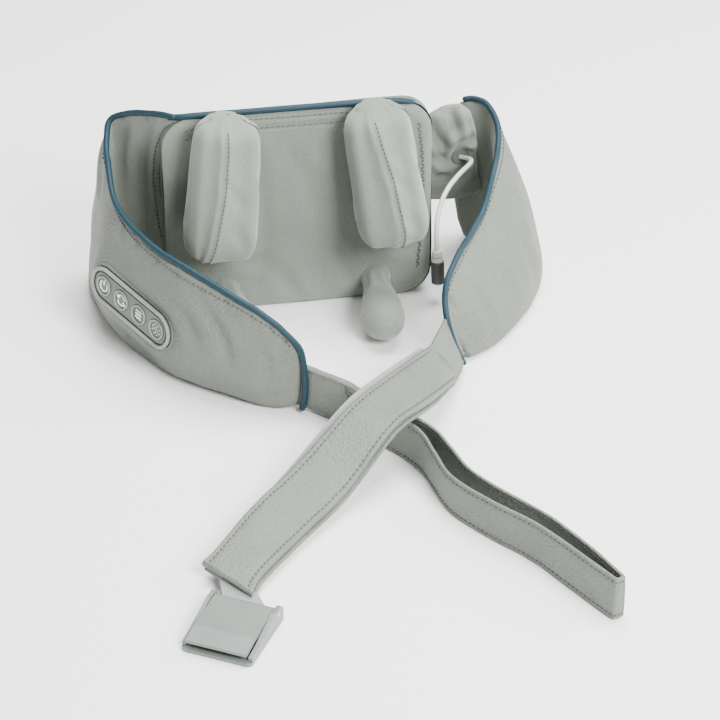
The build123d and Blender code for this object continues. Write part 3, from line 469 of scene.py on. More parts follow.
def stitches(name, line, normals, body=ROOT, step=None, zigzag=0.0, finish_name="thread"):
    """A row of stitches along a line of surface points; zigzag leans them across the row."""
    step = step or sizes().stitch / MM
    radius = sizes().thread / MM
    run = np.r_[0, np.cumsum(np.linalg.norm(np.diff(line, axis=0), axis=1))]
    count = max(1, int(run[-1] / step))
    points, faces = [], []
    angles = np.arange(6) * pi / 3

    def on_line(at):
        return (np.array([np.interp(at, run, line[:, k]) for k in range(3)]),
                unit(np.array([np.interp(at, run, normals[:, k]) for k in range(3)])))

    for i in range(count):
        start, up = on_line((i + 0.12) * run[-1] / count)
        end, up_end = on_line((i + 0.80) * run[-1] / count)
        lean = unit(np.cross(end - start, up)) * zigzag * (1 if i % 2 else -1)
        start, end = start - lean, end + lean
        ahead = unit(end - start)
        side = unit(np.cross(ahead, up))
        base = len(points)
        for share, swell in ((0, 0.35), (0.2, 0.95), (0.8, 0.95), (1, 0.35)):
            centre = start + (end - start) * share + (up + up_end) / 2 * radius * (0.9 * swell - 0.2)
            points += [centre + radius * swell * (side * cos(a) + up * sin(a)) for a in angles]
        faces += [(base + a, base + b, base + d, base + c) for a, b, c, d in
                  [(r * 6 + j, r * 6 + (j + 1) % 6, r * 6 + 6 + j, r * 6 + 6 + (j + 1) % 6)
                   for r in range(3) for j in range(6)]]
        faces += [tuple(base + j for j in range(6))[::-1], tuple(base + 18 + j for j in range(6))]
    piece = mesh_piece(name, points, faces, [finish_name])
    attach(piece, body)
    return piece


# ---------------------------------------------------------------- stage
class MASSAGER_OT_stage(bpy.types.Operator):
    """Make the pale floor, the soft lights and the camera"""
    bl_idname = "massager.stage"
    bl_label = "Stage"

    def execute(self, context):
        scene = context.scene
        floor = mesh_piece("floor", [(-4000, -4000, 0), (4000, -4000, 0), (4000, 4000, 0), (-4000, 4000, 0)],
                           [(0, 1, 2, 3)], [])
        material, tree, shader = surface("paper, matt sweep", linear("f6f6f5"), 0.9)
        place = add(tree, "ShaderNodeTexCoord").outputs["Object"]
        cloud = add(tree, "ShaderNodeTexNoise", {"Vector": place, "Scale": 2.0, "Detail": 2.0})
        tree.links.new(tint(tree, cloud.outputs["Fac"], linear("f4f4f3"), 0.985, 1.0),
                       shader.inputs["Base Color"])
        floor.data.materials.append(material)

        world = bpy.data.worlds.new("studio")
        world.use_nodes = True
        scene.world = world
        world.node_tree.nodes["Background"].inputs["Color"].default_value = (1, 1, 1, 1)
        world.node_tree.nodes["Background"].inputs["Strength"].default_value = 0.5
        for name, spot, size, power in (("key", (0.75, -1.85, 1.5), 0.9, 120),
                                        ("side", (1.9, -0.1, 1.2), 1.0, 40),
                                        ("top", (0.35, 0.3, 2.2), 1.5, 125)):
            light = bpy.data.lights.new(name, "AREA")
            light.size = size
            light.energy = power
            lamp = bpy.data.objects.new(name, light)
            context.collection.objects.link(lamp)
            lamp.location = spot
            aim = Vector((0, -0.1, 0.05)) - Vector(spot)
            lamp.rotation_euler = aim.to_track_quat("-Z", "Y").to_euler()

        camera = bpy.data.objects.new("camera", bpy.data.cameras.new("camera"))
        context.collection.objects.link(camera)
        camera.data.lens = 120
        camera.data.sensor_width = 36
        camera.location = (-0.24700, -1.70733, 1.00685)
        aim = Vector((0.03279, -0.12051, 0)) - camera.location
        camera.rotation_euler = aim.to_track_quat("-Z", "Y").to_euler()
        scene.camera = camera
        return {"FINISHED"}


# ---------------------------------------------------------------- charging lead
LEAD_ROUTE = [(146.5, 41.9, 88.0), (153.5, 34.0, 90.0), (152.0, 22.0, 92.0), (138.0, 4.0, 93.0),
              (121.0, -18.0, 89.0), (112.0, -32.0, 75.0), (110.0, -39.0, 60.0), (110.5, -40.0, 47.0)]


class MASSAGER_OT_lead(bpy.types.Operator):
    """Make the charging lead from the eyelet to its in-line socket"""
    bl_idname = "massager.lead"
    bl_label = "Charging lead"

    def execute(self, context):
        curve = bpy.data.curves.new("lead_line", "CURVE")
        curve.dimensions = "3D"
        line = curve.splines.new("NURBS")
        line.points.add(len(LEAD_ROUTE) - 1)
        for point, place in zip(line.points, LEAD_ROUTE):
            point.co = (*[c * MM for c in place], 1)
        line.order_u = 3
        line.use_endpoint_u = True
        line.resolution_u = 16
        curve.bevel_depth = sizes().lead / 2
        curve.bevel_resolution = 6
        curve.use_fill_caps = True
        curve.materials.append(finish("lead"))
        lead = bpy.data.objects.new("lead", curve)
        context.collection.objects.link(lead)
        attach(lead, ROOT)
        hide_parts("charging_lead")
        dress("lead", "connector_collar")
        dress("barrel", "connector_barrel")
        dress("silicone", "cable_grommet")
        return {"FINISHED"}


# ---------------------------------------------------------------- back module
def rounded_ring(width, height, corner, y, low, top_corner=None, step=6):
    """Upright rounded rectangle, as points from the middle of its lower side, at a given Y."""
    x, top = width / 2, low + height
    crown = top_corner or corner
    spots = [(0, low), (x - corner, low)]
    spots += [(x - corner + corner * sin(t), low + corner - corner * cos(t))
              for t in np.linspace(0, pi / 2, step)[1:]]
    spots += [(x, (low + top) / 2), (x, top - crown)]
    spots += [(x - crown + crown * cos(t), top - crown + crown * sin(t))
              for t in np.linspace(0, pi / 2, step)[1:]]
    spots += [(0, top)]
    spots += [(-a, b) for a, b in spots[-2:0:-1]]
    return np.array([(a, y, b) for a, b in spots])


def even_ring(ring, count):
    """A closed line of points resampled evenly."""
    line = np.concatenate([ring, ring[:1]])
    run = np.r_[0, np.cumsum(np.linalg.norm(np.diff(line, axis=0), axis=1))]
    at = np.linspace(0, run[-1], count, endpoint=False)
    return np.column_stack([np.interp(at, run, line[:, k]) for k in range(3)])


def top_height(y):
    """Height of the module's top: level crest, slope, then a round edge above the back wall."""
    if y > 47:
        return 114.4 + (21.6 ** 2 - (y - 34) ** 2) ** 0.5
    return 175.5 - max(0.0, y + 12) * 0.735


def half_width(y):
    """Half the module's width, with its upright rear corners rounded."""
    return min(108.6, 89.4 + (19.5 ** 2 - max(0.0, y - 36) ** 2) ** 0.5)


class MASSAGER_OT_module(bpy.types.Operator):
    """Make the padded module: knit front panel, top hem and sloping back cover"""
    bl_idname = "massager.module"
    bl_label = "Back module"

    def execute(self, context):
        self.front(240)
        self.back(240)
        self.crest()
        return {"FINISHED"}

    def front(self, columns):
        # rings that grow from its middle to its edge, a little crowned
        edge = even_ring(rounded_ring(216, 174.5, 25, -24.0, 0.5), columns)
        middle = np.array([0, -24.0, 88])
        rings = []
        for share in np.r_[np.linspace(0.02, 0.94, 46), 0.965, 0.985, 1.0]:
            ring = middle + (edge - middle) * share
            ring[:, 1] = -25.6 - 3.0 * (1 - share ** 2) + 2.4 * max(0, (share - 0.93) / 0.07) ** 2
            rings.append(ring)
        panel = np.array(rings)
        normals = np.zeros_like(panel)
        normals[..., 1] = -1
        panel = ripple(panel, normals, 70, 2.2, 3, (1, 1, 0.45))
        for line, depth, width in (
                ([(-98, -27, 160), (-60, -27, 163.5), (0, -27, 164), (60, -27, 163.5), (98, -27, 158)],
                 1.2, 1.8),
                ([(-74, -27, 158), (-78, -27, 120), (-76, -27, 84)], 1.8, 6),
                ([(60, -27, 150), (66, -27, 110), (62, -27, 78)], 1.6, 6),
                ([(-12, -27, 150), (4, -27, 120), (8, -27, 96)], 1.2, 7),
                ([(-45, -27, 170), (-33, -27, 120), (-30, -27, 60), (-34, -27, 20)], 1.6, 7),
                ([(40, -27, 172), (34, -27, 130), (30, -27, 84)], 1.4, 6),
                ([(-22, -27, 40), (-6, -27, 14), (2, -27, 2)], 2.2, 6),
                ([(24, -27, 60), (38, -27, 34), (42, -27, 8)], 2.4, 6),
                ([(-60, -27, 56), (-40, -27, 44), (-20, -27, 42)], 1.4, 6),
                ([(95, -27, 150), (90, -27, 110), (96, -27, 66)], 1.6, 6),
                ([(58, -27, 62), (78, -27, 48), (98, -27, 44)], 1.6, 5)):
            panel = crease(panel, normals, line, depth, width)
        points = np.concatenate([panel.reshape(-1, 3), [panel[0].mean(axis=0)]])
        faces = grid_faces(len(panel), columns, True)
        faces += [(len(points) - 1, (j + 1) % columns, j) for j in range(columns)]
        front = mesh_piece("front_panel", points, faces, ["knit"])
        tidy_panel(front)
        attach(front, ROOT)
        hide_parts("front_cover")

    def back(self, columns):
        # rings of the rounded outline from the panel's edge to the back wall
        rings = []
        for y in (-23.6, -18, -8, 4, 16, 28, 36, 42, 47, 50.5, 53, 54.6, 55.3):
            top = top_height(y)
            crown = max(12.0, 25 - (175.5 - top))
            rings.append(even_ring(rounded_ring(2 * half_width(y), top - 0.4, 25, y, 0.4, crown), columns))
        back = np.array(rings)
        back = smooth_line(back, 4)
        normals = -grid_normals(back, True)
        outwards = np.sign(((back - np.array([0, 10, 80])) * normals).sum())
        normals *= outwards
        back = ripple(back, normals, 60, 1.6, 5)
        end = back[-1]
        centre = end.mean(axis=0)
        crown = np.array([0, 0.6, 0])       # the back wall bulges this far at its middle
        caps = [centre + (end - centre) * share + crown * (1 - share) for share in (0.75, 0.5, 0.25)]
        body = np.concatenate([back, caps])
        points = np.concatenate([body.reshape(-1, 3), [centre + crown]])
        rows = len(body)
        faces = grid_faces(rows, columns, True)
        faces += [(rows * columns, (rows - 1) * columns + j, (rows - 1) * columns + (j + 1) % columns)
                  for j in range(columns)]
        cover = mesh_piece("back_cover", points, faces, ["hide"])
        tidy_normals(cover)
        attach(cover, ROOT)
        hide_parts("rear_cover")

    def crest(self):
        # piping, hem and stitches along the crest and down to the wings
        crest = even_line([(-101, -17.5, 174.6), (-94, -20.5, 175.6), (-84, -22.6, 176.4),
                           (-60, -23.4, 177.0), (0, -23.5, 177.4), (60, -23.4, 177.0),
                           (84, -23.0, 175.6), (96, -20.5, 170),
                           (104, -19.5, 160)], 2.5)
        cord = tube("crest_piping", crest, sizes().piping / MM, "piping")
        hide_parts("back_piping")
        hem = even_line([(-90, -27.4, 166), (-60, -27.6, 171.5), (0, -27.9, 172.2), (60, -27.6, 171.5),
                         (92, -27.2, 164)], 2.0)
        for drop in (0, 7.5):
            stitches("crest_stitches", hem - np.array([0, 0.1 * drop, drop]), np.tile(FORWARD, (len(hem), 1)))
        end = even_line([(97, -27.6, 158), (100.5, -27.8, 120), (100.5, -27.8, 70), (97, -27.6, 26)], 2.0)
        stitches("panel_end_stitches", end, np.tile(FORWARD, (len(end), 1)), step=3.0, zigzag=1.3)


def tidy_panel(piece):
    """Turns an open panel's faces towards the wearer."""
    if sum(p.normal.y * p.area for p in piece.data.polygons) > 0:
        piece.data.flip_normals()


# ---------------------------------------------------------------- kneading hands
BLADE_MID_Z = 128.0
BLADE_LEAN = radians(7.0)
THUMB_Z = 20.0
THUMB_TURN = radians(5.0)
# heights on a blade, and how far to one side its seam lies there
RIDGE_LEVELS = (-53, -34, 4, 38, 53)
RIDGES = {"left": (-13, -9, -4, -3, -4), "right": (0, 3, 1, -4, -6)}


def blade_point(side, sideways, forward, up):
    """A point of a blade in the frame; its foot leans outwards."""
    lean = BLADE_LEAN * SIDES[side]
    x = joint_at(f"{side}_hand_swing")[0]
    return (x + sideways * cos(lean) - up * sin(lean), -forward,
            BLADE_MID_Z + sideways * sin(lean) + up * cos(lean))


def soft_hand(piece, nodes):
    """Hides the CAD pads that a padded cover stands in for, and bakes the cover's placement into its mesh."""
    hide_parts(*nodes)
    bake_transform(piece)


class MASSAGER_OT_hands(bpy.types.Operator):
    """Make the padded blades and thumbs of the two kneading hands"""
    bl_idname = "massager.hands"
    bl_label = "Kneading hands"

    def execute(self, context):
        for side, sign in SIDES.items():
            self.blade(side, sign)
            self.thumb(side, sign)
        return {"FINISHED"}

    def blade(self, side, sign):
        # levels up the blade: height, nose reach, half width, root half width, where its back begins
        levels = [(-53, 68, 15, 8, 30), (-51.5, 80, 21.5, 11, 26), (-46, 87, 26, 13, 21),
                  (-34, 89, 28, 15, 18), (-16, 85.5, 27.6, 16, 18), (4, 80, 27.2, 16, 18),
                  (22, 74.5, 27, 15.5, 18), (38, 69, 26.4, 15, 20), (46, 65.5, 25.5, 14, 24),
                  (51, 60, 22.5, 12.5, 27), (53.5, 52, 15, 9, 30)]
        rings, ridge = [], []
        for up, nose, half, root, back in levels:
            ring = [(0, back), (root * 0.8, back + 0.8), (root * 1.05, back + 5),
                    (root + (half - root) * 0.6, back + 12), (half, (nose + back + 10) / 2),
                    (half * 0.98, nose - 15), (half * 0.80, nose - 4.5), (half * 0.38, nose - 0.5)]
            ring += [(0, nose)] + [(-a, b) for a, b in ring[:0:-1]]
            edge = np.interp(up, RIDGE_LEVELS, RIDGES[side])
            ring[7] = (half * 0.42 + edge * 0.5, nose - 2.6)
            ring[8] = (edge, nose + 1.8)
            ring[9] = (-half * 0.42 + edge * 0.5, nose - 2.6)
            rings.append([blade_point(side, a, b, up) for a, b in ring])
            ridge.append(blade_point(side, edge, nose + 1.8, up))

        def relief(grid):
            normals = -grid_normals(grid, True)
            centre = grid.mean(axis=(0, 1))
            normals *= np.sign(((grid - centre) * normals).sum())
            grid = ripple(grid, normals, 45, 1.6, 11 + sign, (1, 1, 0.5))
            grid = crease(grid, normals, ridge[::-1], 1.7, 1.6, 0.45)
            for a, b, depth in (((-10, 84, 30), (16, 80, -6), 1.1), ((-20, 70, -10), (-24, 60, -40), 1.3),
                                ((22, 66, 30), (25, 58, -10), 1.2), ((-16, 80, 44), (6, 78, 50), 0.9),
                                ((-4, 76, 46), (-16, 82, 14), 1.2), ((10, 88, -20), (20, 82, -44), 1.2)):
                grid = crease(grid, normals, [blade_point(side, *a), blade_point(side, *b)], depth, 4.5)
            return grid

        piece, grid = closed_loft(f"{side}_blade", rings, 7, 7, ["knit"], shape=relief)
        soft_hand(piece, [f"{side}_blade_pad"])
        beside = np.array(ridge[1:-1]) + np.array([2.6, 0, 0])      # the stitches run beside the seam
        stitches(f"{side}_blade_stitches", *on_surface(grid, beside), body=f"{side}_hand", step=3.4)

    def thumb(self, side, sign):
        turn = THUMB_TURN * sign
        x = joint_at(f"{side}_hand_swing")[0]
        ahead = np.array([-sin(turn), -cos(turn), 0])
        across = np.array([-cos(turn), sin(turn), 0])
        # how far forward, and the radius there
        profile = [(18, 13), (24, 12.6), (30, 12.0), (36, 11.6), (44, 11.6), (54, 12.6), (66, 14.8),
                   (78, 16.6), (88, 17.3), (97, 17.1), (104, 15.6), (109.5, 12.2), (113, 7.4)]
        rings = []
        for forward, radius in profile:
            middle = np.array([x, 0, THUMB_Z]) + ahead * forward
            rings.append([middle + radius * (across * cos(a) + UP * sin(a) * (0.98 if sin(a) > 0 else 0.93))
                          for a in np.linspace(0, 2 * pi, 12, endpoint=False)])

        def relief(grid):
            centre = grid.mean(axis=1, keepdims=True)
            normals = unit(grid - centre)
            grid = ripple(grid, normals, 26, 0.9, 21 + sign)
            tip = np.array([x, 0, THUMB_Z]) + ahead * 99
            ring = [tip + 17 * (across * cos(a) + UP * sin(a)) for a in np.linspace(-0.4, pi + 0.4, 9)]
            grid = crease(grid, normals, ring, 0.9, 1.5, 0.3)
            root = np.array([x, 0, THUMB_Z]) + ahead * 47
            for a in (0.7, 1.5, 2.3):
                start = root + 12 * (across * cos(a) + UP * sin(a))
                grid = crease(grid, normals, [start - ahead * 14, start + ahead * 16], 0.8, 2.2)
            return grid

        piece, _ = closed_loft(f"{side}_thumb", rings, 6, 6, ["knit"], shape=relief)
        soft_hand(piece, [f"{side}_thumb_pad"])


# ---------------------------------------------------------------- soft wings
POD_SPOT = np.array([-142.0, -91.0, 50.0])
POD_OUT = unit((-0.83, -0.55, 0.10))
POD_ALONG = np.array([0.54, -0.82, -0.17])
POD_ALONG = unit(POD_ALONG - POD_OUT * (POD_ALONG @ POD_OUT))
POD_UP = np.cross(POD_OUT, POD_ALONG)
POD_HALF = 33.0
BUTTON_PITCH = 22.0


def pod_point(along, up, out):
    """A point of the pod in the frame, from the middle of its face."""
    return POD_SPOT + POD_ALONG * along + POD_UP * up + POD_OUT * out


def seat_pod(grid):
    """Draws the skin in to the pod's plane round its stadium, with a puffed lip."""
    flat = grid.reshape(-1, 3) - POD_SPOT
    along, up, out = flat @ POD_ALONG, flat @ POD_UP, flat @ POD_OUT
    past = np.hypot(np.maximum(np.abs(along) - POD_HALF, 0), up) - 15.0
    outside = np.tile(np.arange(grid.shape[1]) < OUTSIDE * grid.shape[1], len(grid))
    near = (out > -30) & (past < 24) & outside
    pull = np.where(near, 1 - np.clip((past + 0.5) / 22, 0, 1), 0)
    pull = pull * pull * (3 - 2 * pull)
    target = -0.9 + 1.3 * np.exp(-((past - 5) / 3.2) ** 2) * (past > -2)
    moved = out * (1 - pull) + target * pull
    flat = flat + POD_OUT * (moved - out)[:, None]
    return (flat + POD_SPOT).reshape(grid.shape)


def wing_ring(top, outer, inner, bulge_out, bulge_in):
    """Section of a wing: up its outside from the floor, over the top seam, and down its lining."""
    top, outer, inner = (np.array(p, float) for p in (top, outer, inner))
    out = unit(outer - inner)
    ring = [(outer + inner) / 2 + UP * 0.8, outer * 0.96 + inner * 0.04 + UP * 2.5]
    for share in (0.14, 0.36, 0.60, 0.82, 0.94):
        ring.append(outer + (top - outer) * share + out * bulge_out * sin(pi * share ** 0.8) ** 0.9)
    ring.append(top)
    for share in (0.94, 0.82, 0.58, 0.34, 0.14):
        ring.append(inner + (top - inner) * share - out * bulge_in * sin(pi * share ** 0.8) ** 0.9)
    ring.append(inner * 0.96 + outer * 0.04 + UP * 2.5)
    return ring


OUTSIDE = 7 / 14        # share of a section's points that lie on the outside
AROUND = 9              # mesh columns between two control points of a section
TOP_COLUMN = 7 * AROUND


class MASSAGER_OT_wings(bpy.types.Operator):
    """Make the two stuffed wings with their linings, piping and seams"""
    bl_idname = "massager.wings"
    bl_label = "Wings"

    def execute(self, context):
        self.left()
        self.right()
        return {"FINISHED"}

    def make(self, name, rings, creases, lining_creases, seed, puckers, seat=None):
        def relief(grid):
            normals = grid_normals(grid, True)
            centre = grid.mean(axis=1, keepdims=True)
            normals *= np.sign(((grid - centre) * normals).sum())
            grid = ripple(grid, normals, 85, 4.0, seed)
            grid = ripple(grid, normals, 30, 1.1, seed + 1)
            # short puckers that run down from the piping
            gathers = [([grid[row, TOP_COLUMN - 2], grid[row + 1, TOP_COLUMN - 6],
                         grid[row + 2, TOP_COLUMN - 13 - 3 * (k % 3)]], 1.0 + 0.3 * (k % 2), 2.0)
                       for k, row in enumerate(puckers)]
            for line, depth, width in creases + lining_creases + gathers:
                grid = crease(grid, normals, line, depth, width)
            if seat:
                grid = seat(grid)
            flat = grid.reshape(-1, 3)
            flat[:, 2] = np.maximum(flat[:, 2], 0.3)
            return flat.reshape(grid.shape)

        piece, grid = closed_loft(name, rings, sizes().rows, AROUND, ["hide", "knit"],
                                  pick=lambda row, share: int(share >= OUTSIDE), shape=relief)
        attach(piece, ROOT)
        return piece, grid, grid[:, TOP_COLUMN]

    def left(self):
        rings = [
            wing_ring((-96, -21, 174), (-112, 50, 0), (-108, 14, 0), 5, 1),
            wing_ring((-107, -10, 172), (-126, 60, 0), (-118, 20, 0), 8, -6),
            wing_ring((-119, 8, 166), (-142, 61, 0), (-128, 26, 0), 9, -8),
            wing_ring((-132, 25, 158), (-156, 56, 0), (-138, 26, 0), 8, -6),
            wing_ring((-142, 34, 150), (-166, 44, 0), (-144, 22, 0), 7, -2),
            wing_ring((-147, 26, 141), (-171, 28, 0), (-146, 12, 0), 6, 0),
            wing_ring((-149, 2, 127), (-169, 4, 0), (-142, -8, 0), 8, 2),
            wing_ring((-148, -30, 113), (-160, -34, 0), (-134, -34, 0), 11, 3),
            wing_ring((-140, -64, 107), (-145, -68, 0), (-118, -66, 0), 13, 4),
            wing_ring((-124, -100, 103), (-127, -100, 0), (-101, -94, 0), 13, 5),
            wing_ring((-104, -130, 99), (-108, -128, 0), (-82, -118, 0), 13, 5),
            wing_ring((-80, -156, 93), (-86, -150, 0), (-62, -136, 0), 12, 5),
            wing_ring((-56, -176, 84), (-62, -168, 0), (-43, -150, 0), 10, 4),
            wing_ring((-38, -184, 70), (-42, -178, 0), (-29, -164, 2), 7, 3),
            wing_ring((-26, -185, 52), (-30, -182, 3), (-22, -174, 5), 3, 2),
        ]
        creases = [
            ([(-176, 44, 128), (-184, 24, 96), (-180, -6, 66)], 3.2, 8),
            ([(-170, 60, 110), (-176, 52, 76), (-170, 46, 40)], 2.6, 8),
            ([(-166, -26, 96), (-172, -40, 76), (-166, -52, 64)], 2.4, 6),
            ([(-150, -70, 20), (-132, -104, 16), (-112, -132, 22)], 3.4, 7),
            ([(-118, -122, 84), (-104, -144, 66), (-96, -150, 40)], 3.2, 6),
            ([(-92, -152, 80), (-80, -168, 58), (-76, -168, 34)], 3.0, 5),
            ([(-60, -182, 70), (-50, -188, 44), (-52, -182, 20)], 1.9, 6.5),
            ([(-40, -188, 62), (-36, -188, 46), (-39, -182, 34)], 1.7, 4),
            ([(-84, -168, 14), (-60, -184, 12), (-36, -188, 16)], 2.4, 6),
            ([(-160, -50, 30), (-142, -88, 10), (-120, -122, 8)], 2.0, 6),
        ]
        lining = [
            ([(-118, 2, 160), (-124, 10, 120), (-126, 16, 70), (-124, 20, 20)], 4.2, 7),
            ([(-136, 22, 154), (-142, 24, 120), (-142, 20, 76)], 3.4, 6),
            ([(-148, 26, 140), (-150, 14, 110), (-146, 2, 80)], 2.6, 6),
            ([(-104, -14, 160), (-110, -8, 110), (-112, 0, 60)], 2.8, 6),
            ([(-144, -20, 100), (-134, -40, 70), (-124, -50, 40)], 2.2, 7),
            ([(-112, -104, 90), (-100, -104, 50), (-96, -100, 20)], 1.8, 6),
        ]
        piece, grid, top = self.make("left_wing_cover", rings, creases, lining, 2, range(70, 120, 6),
                                     seat_pod)
        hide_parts("left_wing")
        tip = [(-25.5, -187.5, 58), (-22.5, -189, 44), (-21.5, -189.5, 28), (-22, -189, 14),
               (-24, -187.5, 3.5)]
        seam_piping("left_wing_piping", top[9:-7], "left_piping", tip)
        seam_piping("left_lining_piping", top[:10], None)
        self.seams("left_wing", grid, 12)
        # the double seam that joins the lining to the front panel
        for shift in (0, 5):
            seam = np.array([(-98, -20, 166), (-107, -12, 146), (-111, -6, 116), (-112, -2, 84),
                             (-111, 0, 52)])
            stitches("lining_stitches", *on_surface(grid, seam - np.array([shift, -0.6 * shift, 0])))

    def right(self):
        rings = [
            wing_ring((150, 60, 130), (168, 66, 0), (158, 54, 0), 3, 1),
            wing_ring((160, 57, 132), (184, 63, 0), (168, 50, 0), 5, 2),
            wing_ring((169, 46, 131), (200, 48, 0), (178, 42, 0), 7, 2),
            wing_ring((173, 24, 122), (207, 22, 0), (186, 24, 0), 7, 3),
            wing_ring((169, 2, 112), (207, -4, 0), (187, 0, 0), 8, 3),
            wing_ring((160, -24, 106), (199, -32, 0), (180, -26, 0), 9, 3),
            wing_ring((146, -50, 86), (187, -58, 0), (168, -50, 0), 9, 4),
            wing_ring((130, -76, 79), (172, -82, 0), (153, -72, 0), 9, 4),
            wing_ring((114, -102, 73), (154, -106, 0), (136, -94, 0), 8, 4),
            wing_ring((101, -123, 62), (136, -124, 0), (121, -112, 0), 6, 3),
            wing_ring((98, -134, 44), (122, -136, 1), (112, -128, 1), 3, 2),
        ]
        creases = [
            ([(190, 50, 100), (200, 40, 60), (204, 30, 20)], 2.2, 8),
            ([(176, -34, 70), (186, -46, 40), (188, -50, 14)], 1.8, 8),
            ([(150, -80, 60), (160, -84, 30), (162, -88, 10)], 1.8, 6),
            ([(122, -112, 54), (134, -116, 30), (138, -118, 10)], 1.6, 5),
        ]
        lining = [
            ([(166, 40, 112), (172, 34, 70), (178, 30, 30)], 2.4, 6),
            ([(158, -10, 90), (168, -14, 50), (176, -16, 20)], 2.2, 7),
            ([(138, -56, 66), (146, -56, 36), (152, -58, 12)], 2.0, 6),
        ]
        piece, grid, top = self.make("right_wing_cover", rings, creases, lining, 8, range(48, 84, 7))
        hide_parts("right_wing")
        foot = [(97.5, -141, 46), (100, -146, 34), (104, -149, 21), (110.5, -149.5, 6)]
        seam_piping("right_wing_piping", top[2:-4], "right_piping", foot)
        self.seams("right_wing", grid, 8)

    def seams(self, name, grid, start):
        """Top-stitching just below the piping, on the outside."""
        rows = grid[start:-4]
        line = (rows[:, TOP_COLUMN - 6] * 0.5 + rows[:, TOP_COLUMN - 5] * 0.5)
        across = rows[:, TOP_COLUMN - 1] - rows[:, TOP_COLUMN - 9]
        normals = unit(np.cross(np.gradient(line, axis=0), across))
        centre = grid.mean(axis=1)[start:-4]
        normals *= np.sign(((line - centre) * normals).sum())
        stitches(f"{name}_stitches", line + normals * 0.1, normals)


def seam_piping(name, top, node, front=()):
    """Piping in a top seam, carried on down the wing's front edge."""
    line = even_line([*(top[::3] + UP * 1.6), *front], 2.5)
    piece = tube(name, line, sizes().piping / MM, "piping")
    if node:
        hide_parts(node)
    return piece


# ---------------------------------------------------------------- gusset round the lead
EYELET = np.array([146.5, 44.0, 88.0])


class MASSAGER_OT_gusset(bpy.types.Operator):
    """Make the gathered gusset between the module and the right wing, swirled and flattened round the eyelet"""
    bl_idname = "massager.gusset"
    bl_label = "Gusset"

    def execute(self, context):
        rings = []
        # height, the two ends in X, the front and the back in Y
        for z, x0, x1, front, back in (
                (50, 112, 164, 45, 51), (56, 110, 165, 42, 52), (70, 109, 163, 40, 53),
                (84, 109, 161, 39, 53), (98, 109, 159, 38, 53), (110, 110, 157, 37, 52),
                (120, 112, 155, 37, 51),
                (128, 119, 153, 38, 50), (134, 128, 148, 41, 49)):
            span = x1 - x0
            ring = [(x0 + span * s, front + bow, z)
                    for s, bow in ((0.0, 3), (0.12, 0.6), (0.3, 0), (0.5, 0.4), (0.7, 0), (0.88, 0.6),
                                   (1.0, 3))]
            ring += [(x0 + span * s, back - bow, z)
                     for s, bow in ((1.0, 2), (0.8, 0), (0.5, 0), (0.2, 0), (0.0, 2))]
            rings.append(ring)

        def relief(grid):
            normals = grid_normals(grid, True)
            centre = grid.mean(axis=(0, 1))
            normals *= np.sign(((grid - centre) * normals).sum())
            grid = ripple(grid, normals, 26, 3.2, 31, (1, 1, 0.6))
            away = grid - EYELET
            reach = np.hypot(away[..., 0], away[..., 2])
            turn = np.arctan2(away[..., 2], away[..., 0])
            front = normals[..., 1] < 0
            swirl = np.sin(4 * turn + reach * 0.32) * 2.8 * np.exp(-((reach - 17) / 11) ** 2)
            seat = np.clip((13 - reach) / 7, 0, 1)
            moved = grid[..., 1] - swirl
            moved = moved * (1 - seat) + 44.6 * seat
            grid[..., 1] = np.where(front, moved, grid[..., 1])
            for line, depth, width in (([(118, 40, 128), (126, 38, 108), (136, 38, 96)], 4.6, 4),
                                       ([(138, 40, 132), (142, 38, 116), (146, 38, 102)], 4.2, 3.5),
                                       ([(154, 40, 124), (154, 38, 110), (151, 38, 98)], 2.6, 3.5),
                                       ([(114, 42, 96), (124, 40, 90), (136, 40, 88)], 2.8, 4),
                                       ([(118, 42, 64), (128, 40, 72), (138, 40, 80)], 2.6, 4)):
                grid = crease(grid, normals, line, depth, width)
            return grid

        piece, _ = closed_loft("gusset_cover", rings, 8, 8, ["knit"], shape=relief)
        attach(piece, ROOT)
        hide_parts("right_gusset")
        return {"FINISHED"}


# ---------------------------------------------------------------- control pod
def tube_data(points, radius, sides=8):
    """Points and faces of a small round stroke with closed ends."""
    line = np.asarray(points, float)
    ahead = unit(np.gradient(line, axis=0))
    rings = []
    for p, t in zip(line, ahead):
        side = unit(np.cross(t, POD_OUT))
        up = np.cross(side, t)
        rings.append([p + radius * (side * cos(a) + up * sin(a)) for a in np.arange(sides) * 2 * pi / sides])
    faces = grid_faces(len(line), sides, True)
    faces += [tuple(range(sides))[::-1], tuple(range((len(line) - 1) * sides, len(line) * sides))]
    return np.array(rings).reshape(-1, 3), faces


def arc(middle, radius, start, end, count=22):
    """Flat points on an arc between two angles in degrees."""
    return [(middle[0] + radius * cos(radians(a)), middle[1] + radius * sin(radians(a)))
            for a in np.linspace(start, end, count)]


def icon_strokes(kind):
    """Flat strokes of one generic symbol, in millimetres from the button's middle."""
    if kind == "power":
        return [arc((0, 0), 4.4, 128, 412), [(0, 1.2), (0, 5.6)]]
    if kind == "direction":
        strokes = [arc((0, 0), 4.3, 20, 165), arc((0, 0), 4.3, 200, 345)]
        for a in (165, 345):
            tip = arc((0, 0), 4.3, a + 8, a + 8, 1)[0]
            strokes += [[tip, arc((0, 0), 6.0, a - 18, a - 18, 1)[0]],
                        [tip, arc((0, 0), 2.6, a - 24, a - 24, 1)[0]]]
        return strokes
    if kind == "heat":
        return [[(x, y + 0.35 * sin(x * 1.7)) for x in np.linspace(-3.4, 3.4, 14)] for y in (-2.9, 0, 2.9)]
    dots = [(0, 0)] + arc((0, 0), 2.3, 0, 270, 4) + arc((0, 0), 4.6, 22.5, 337.5, 8)
    return [[(x - 0.12, y), (x + 0.12, y)] for x, y in dots]


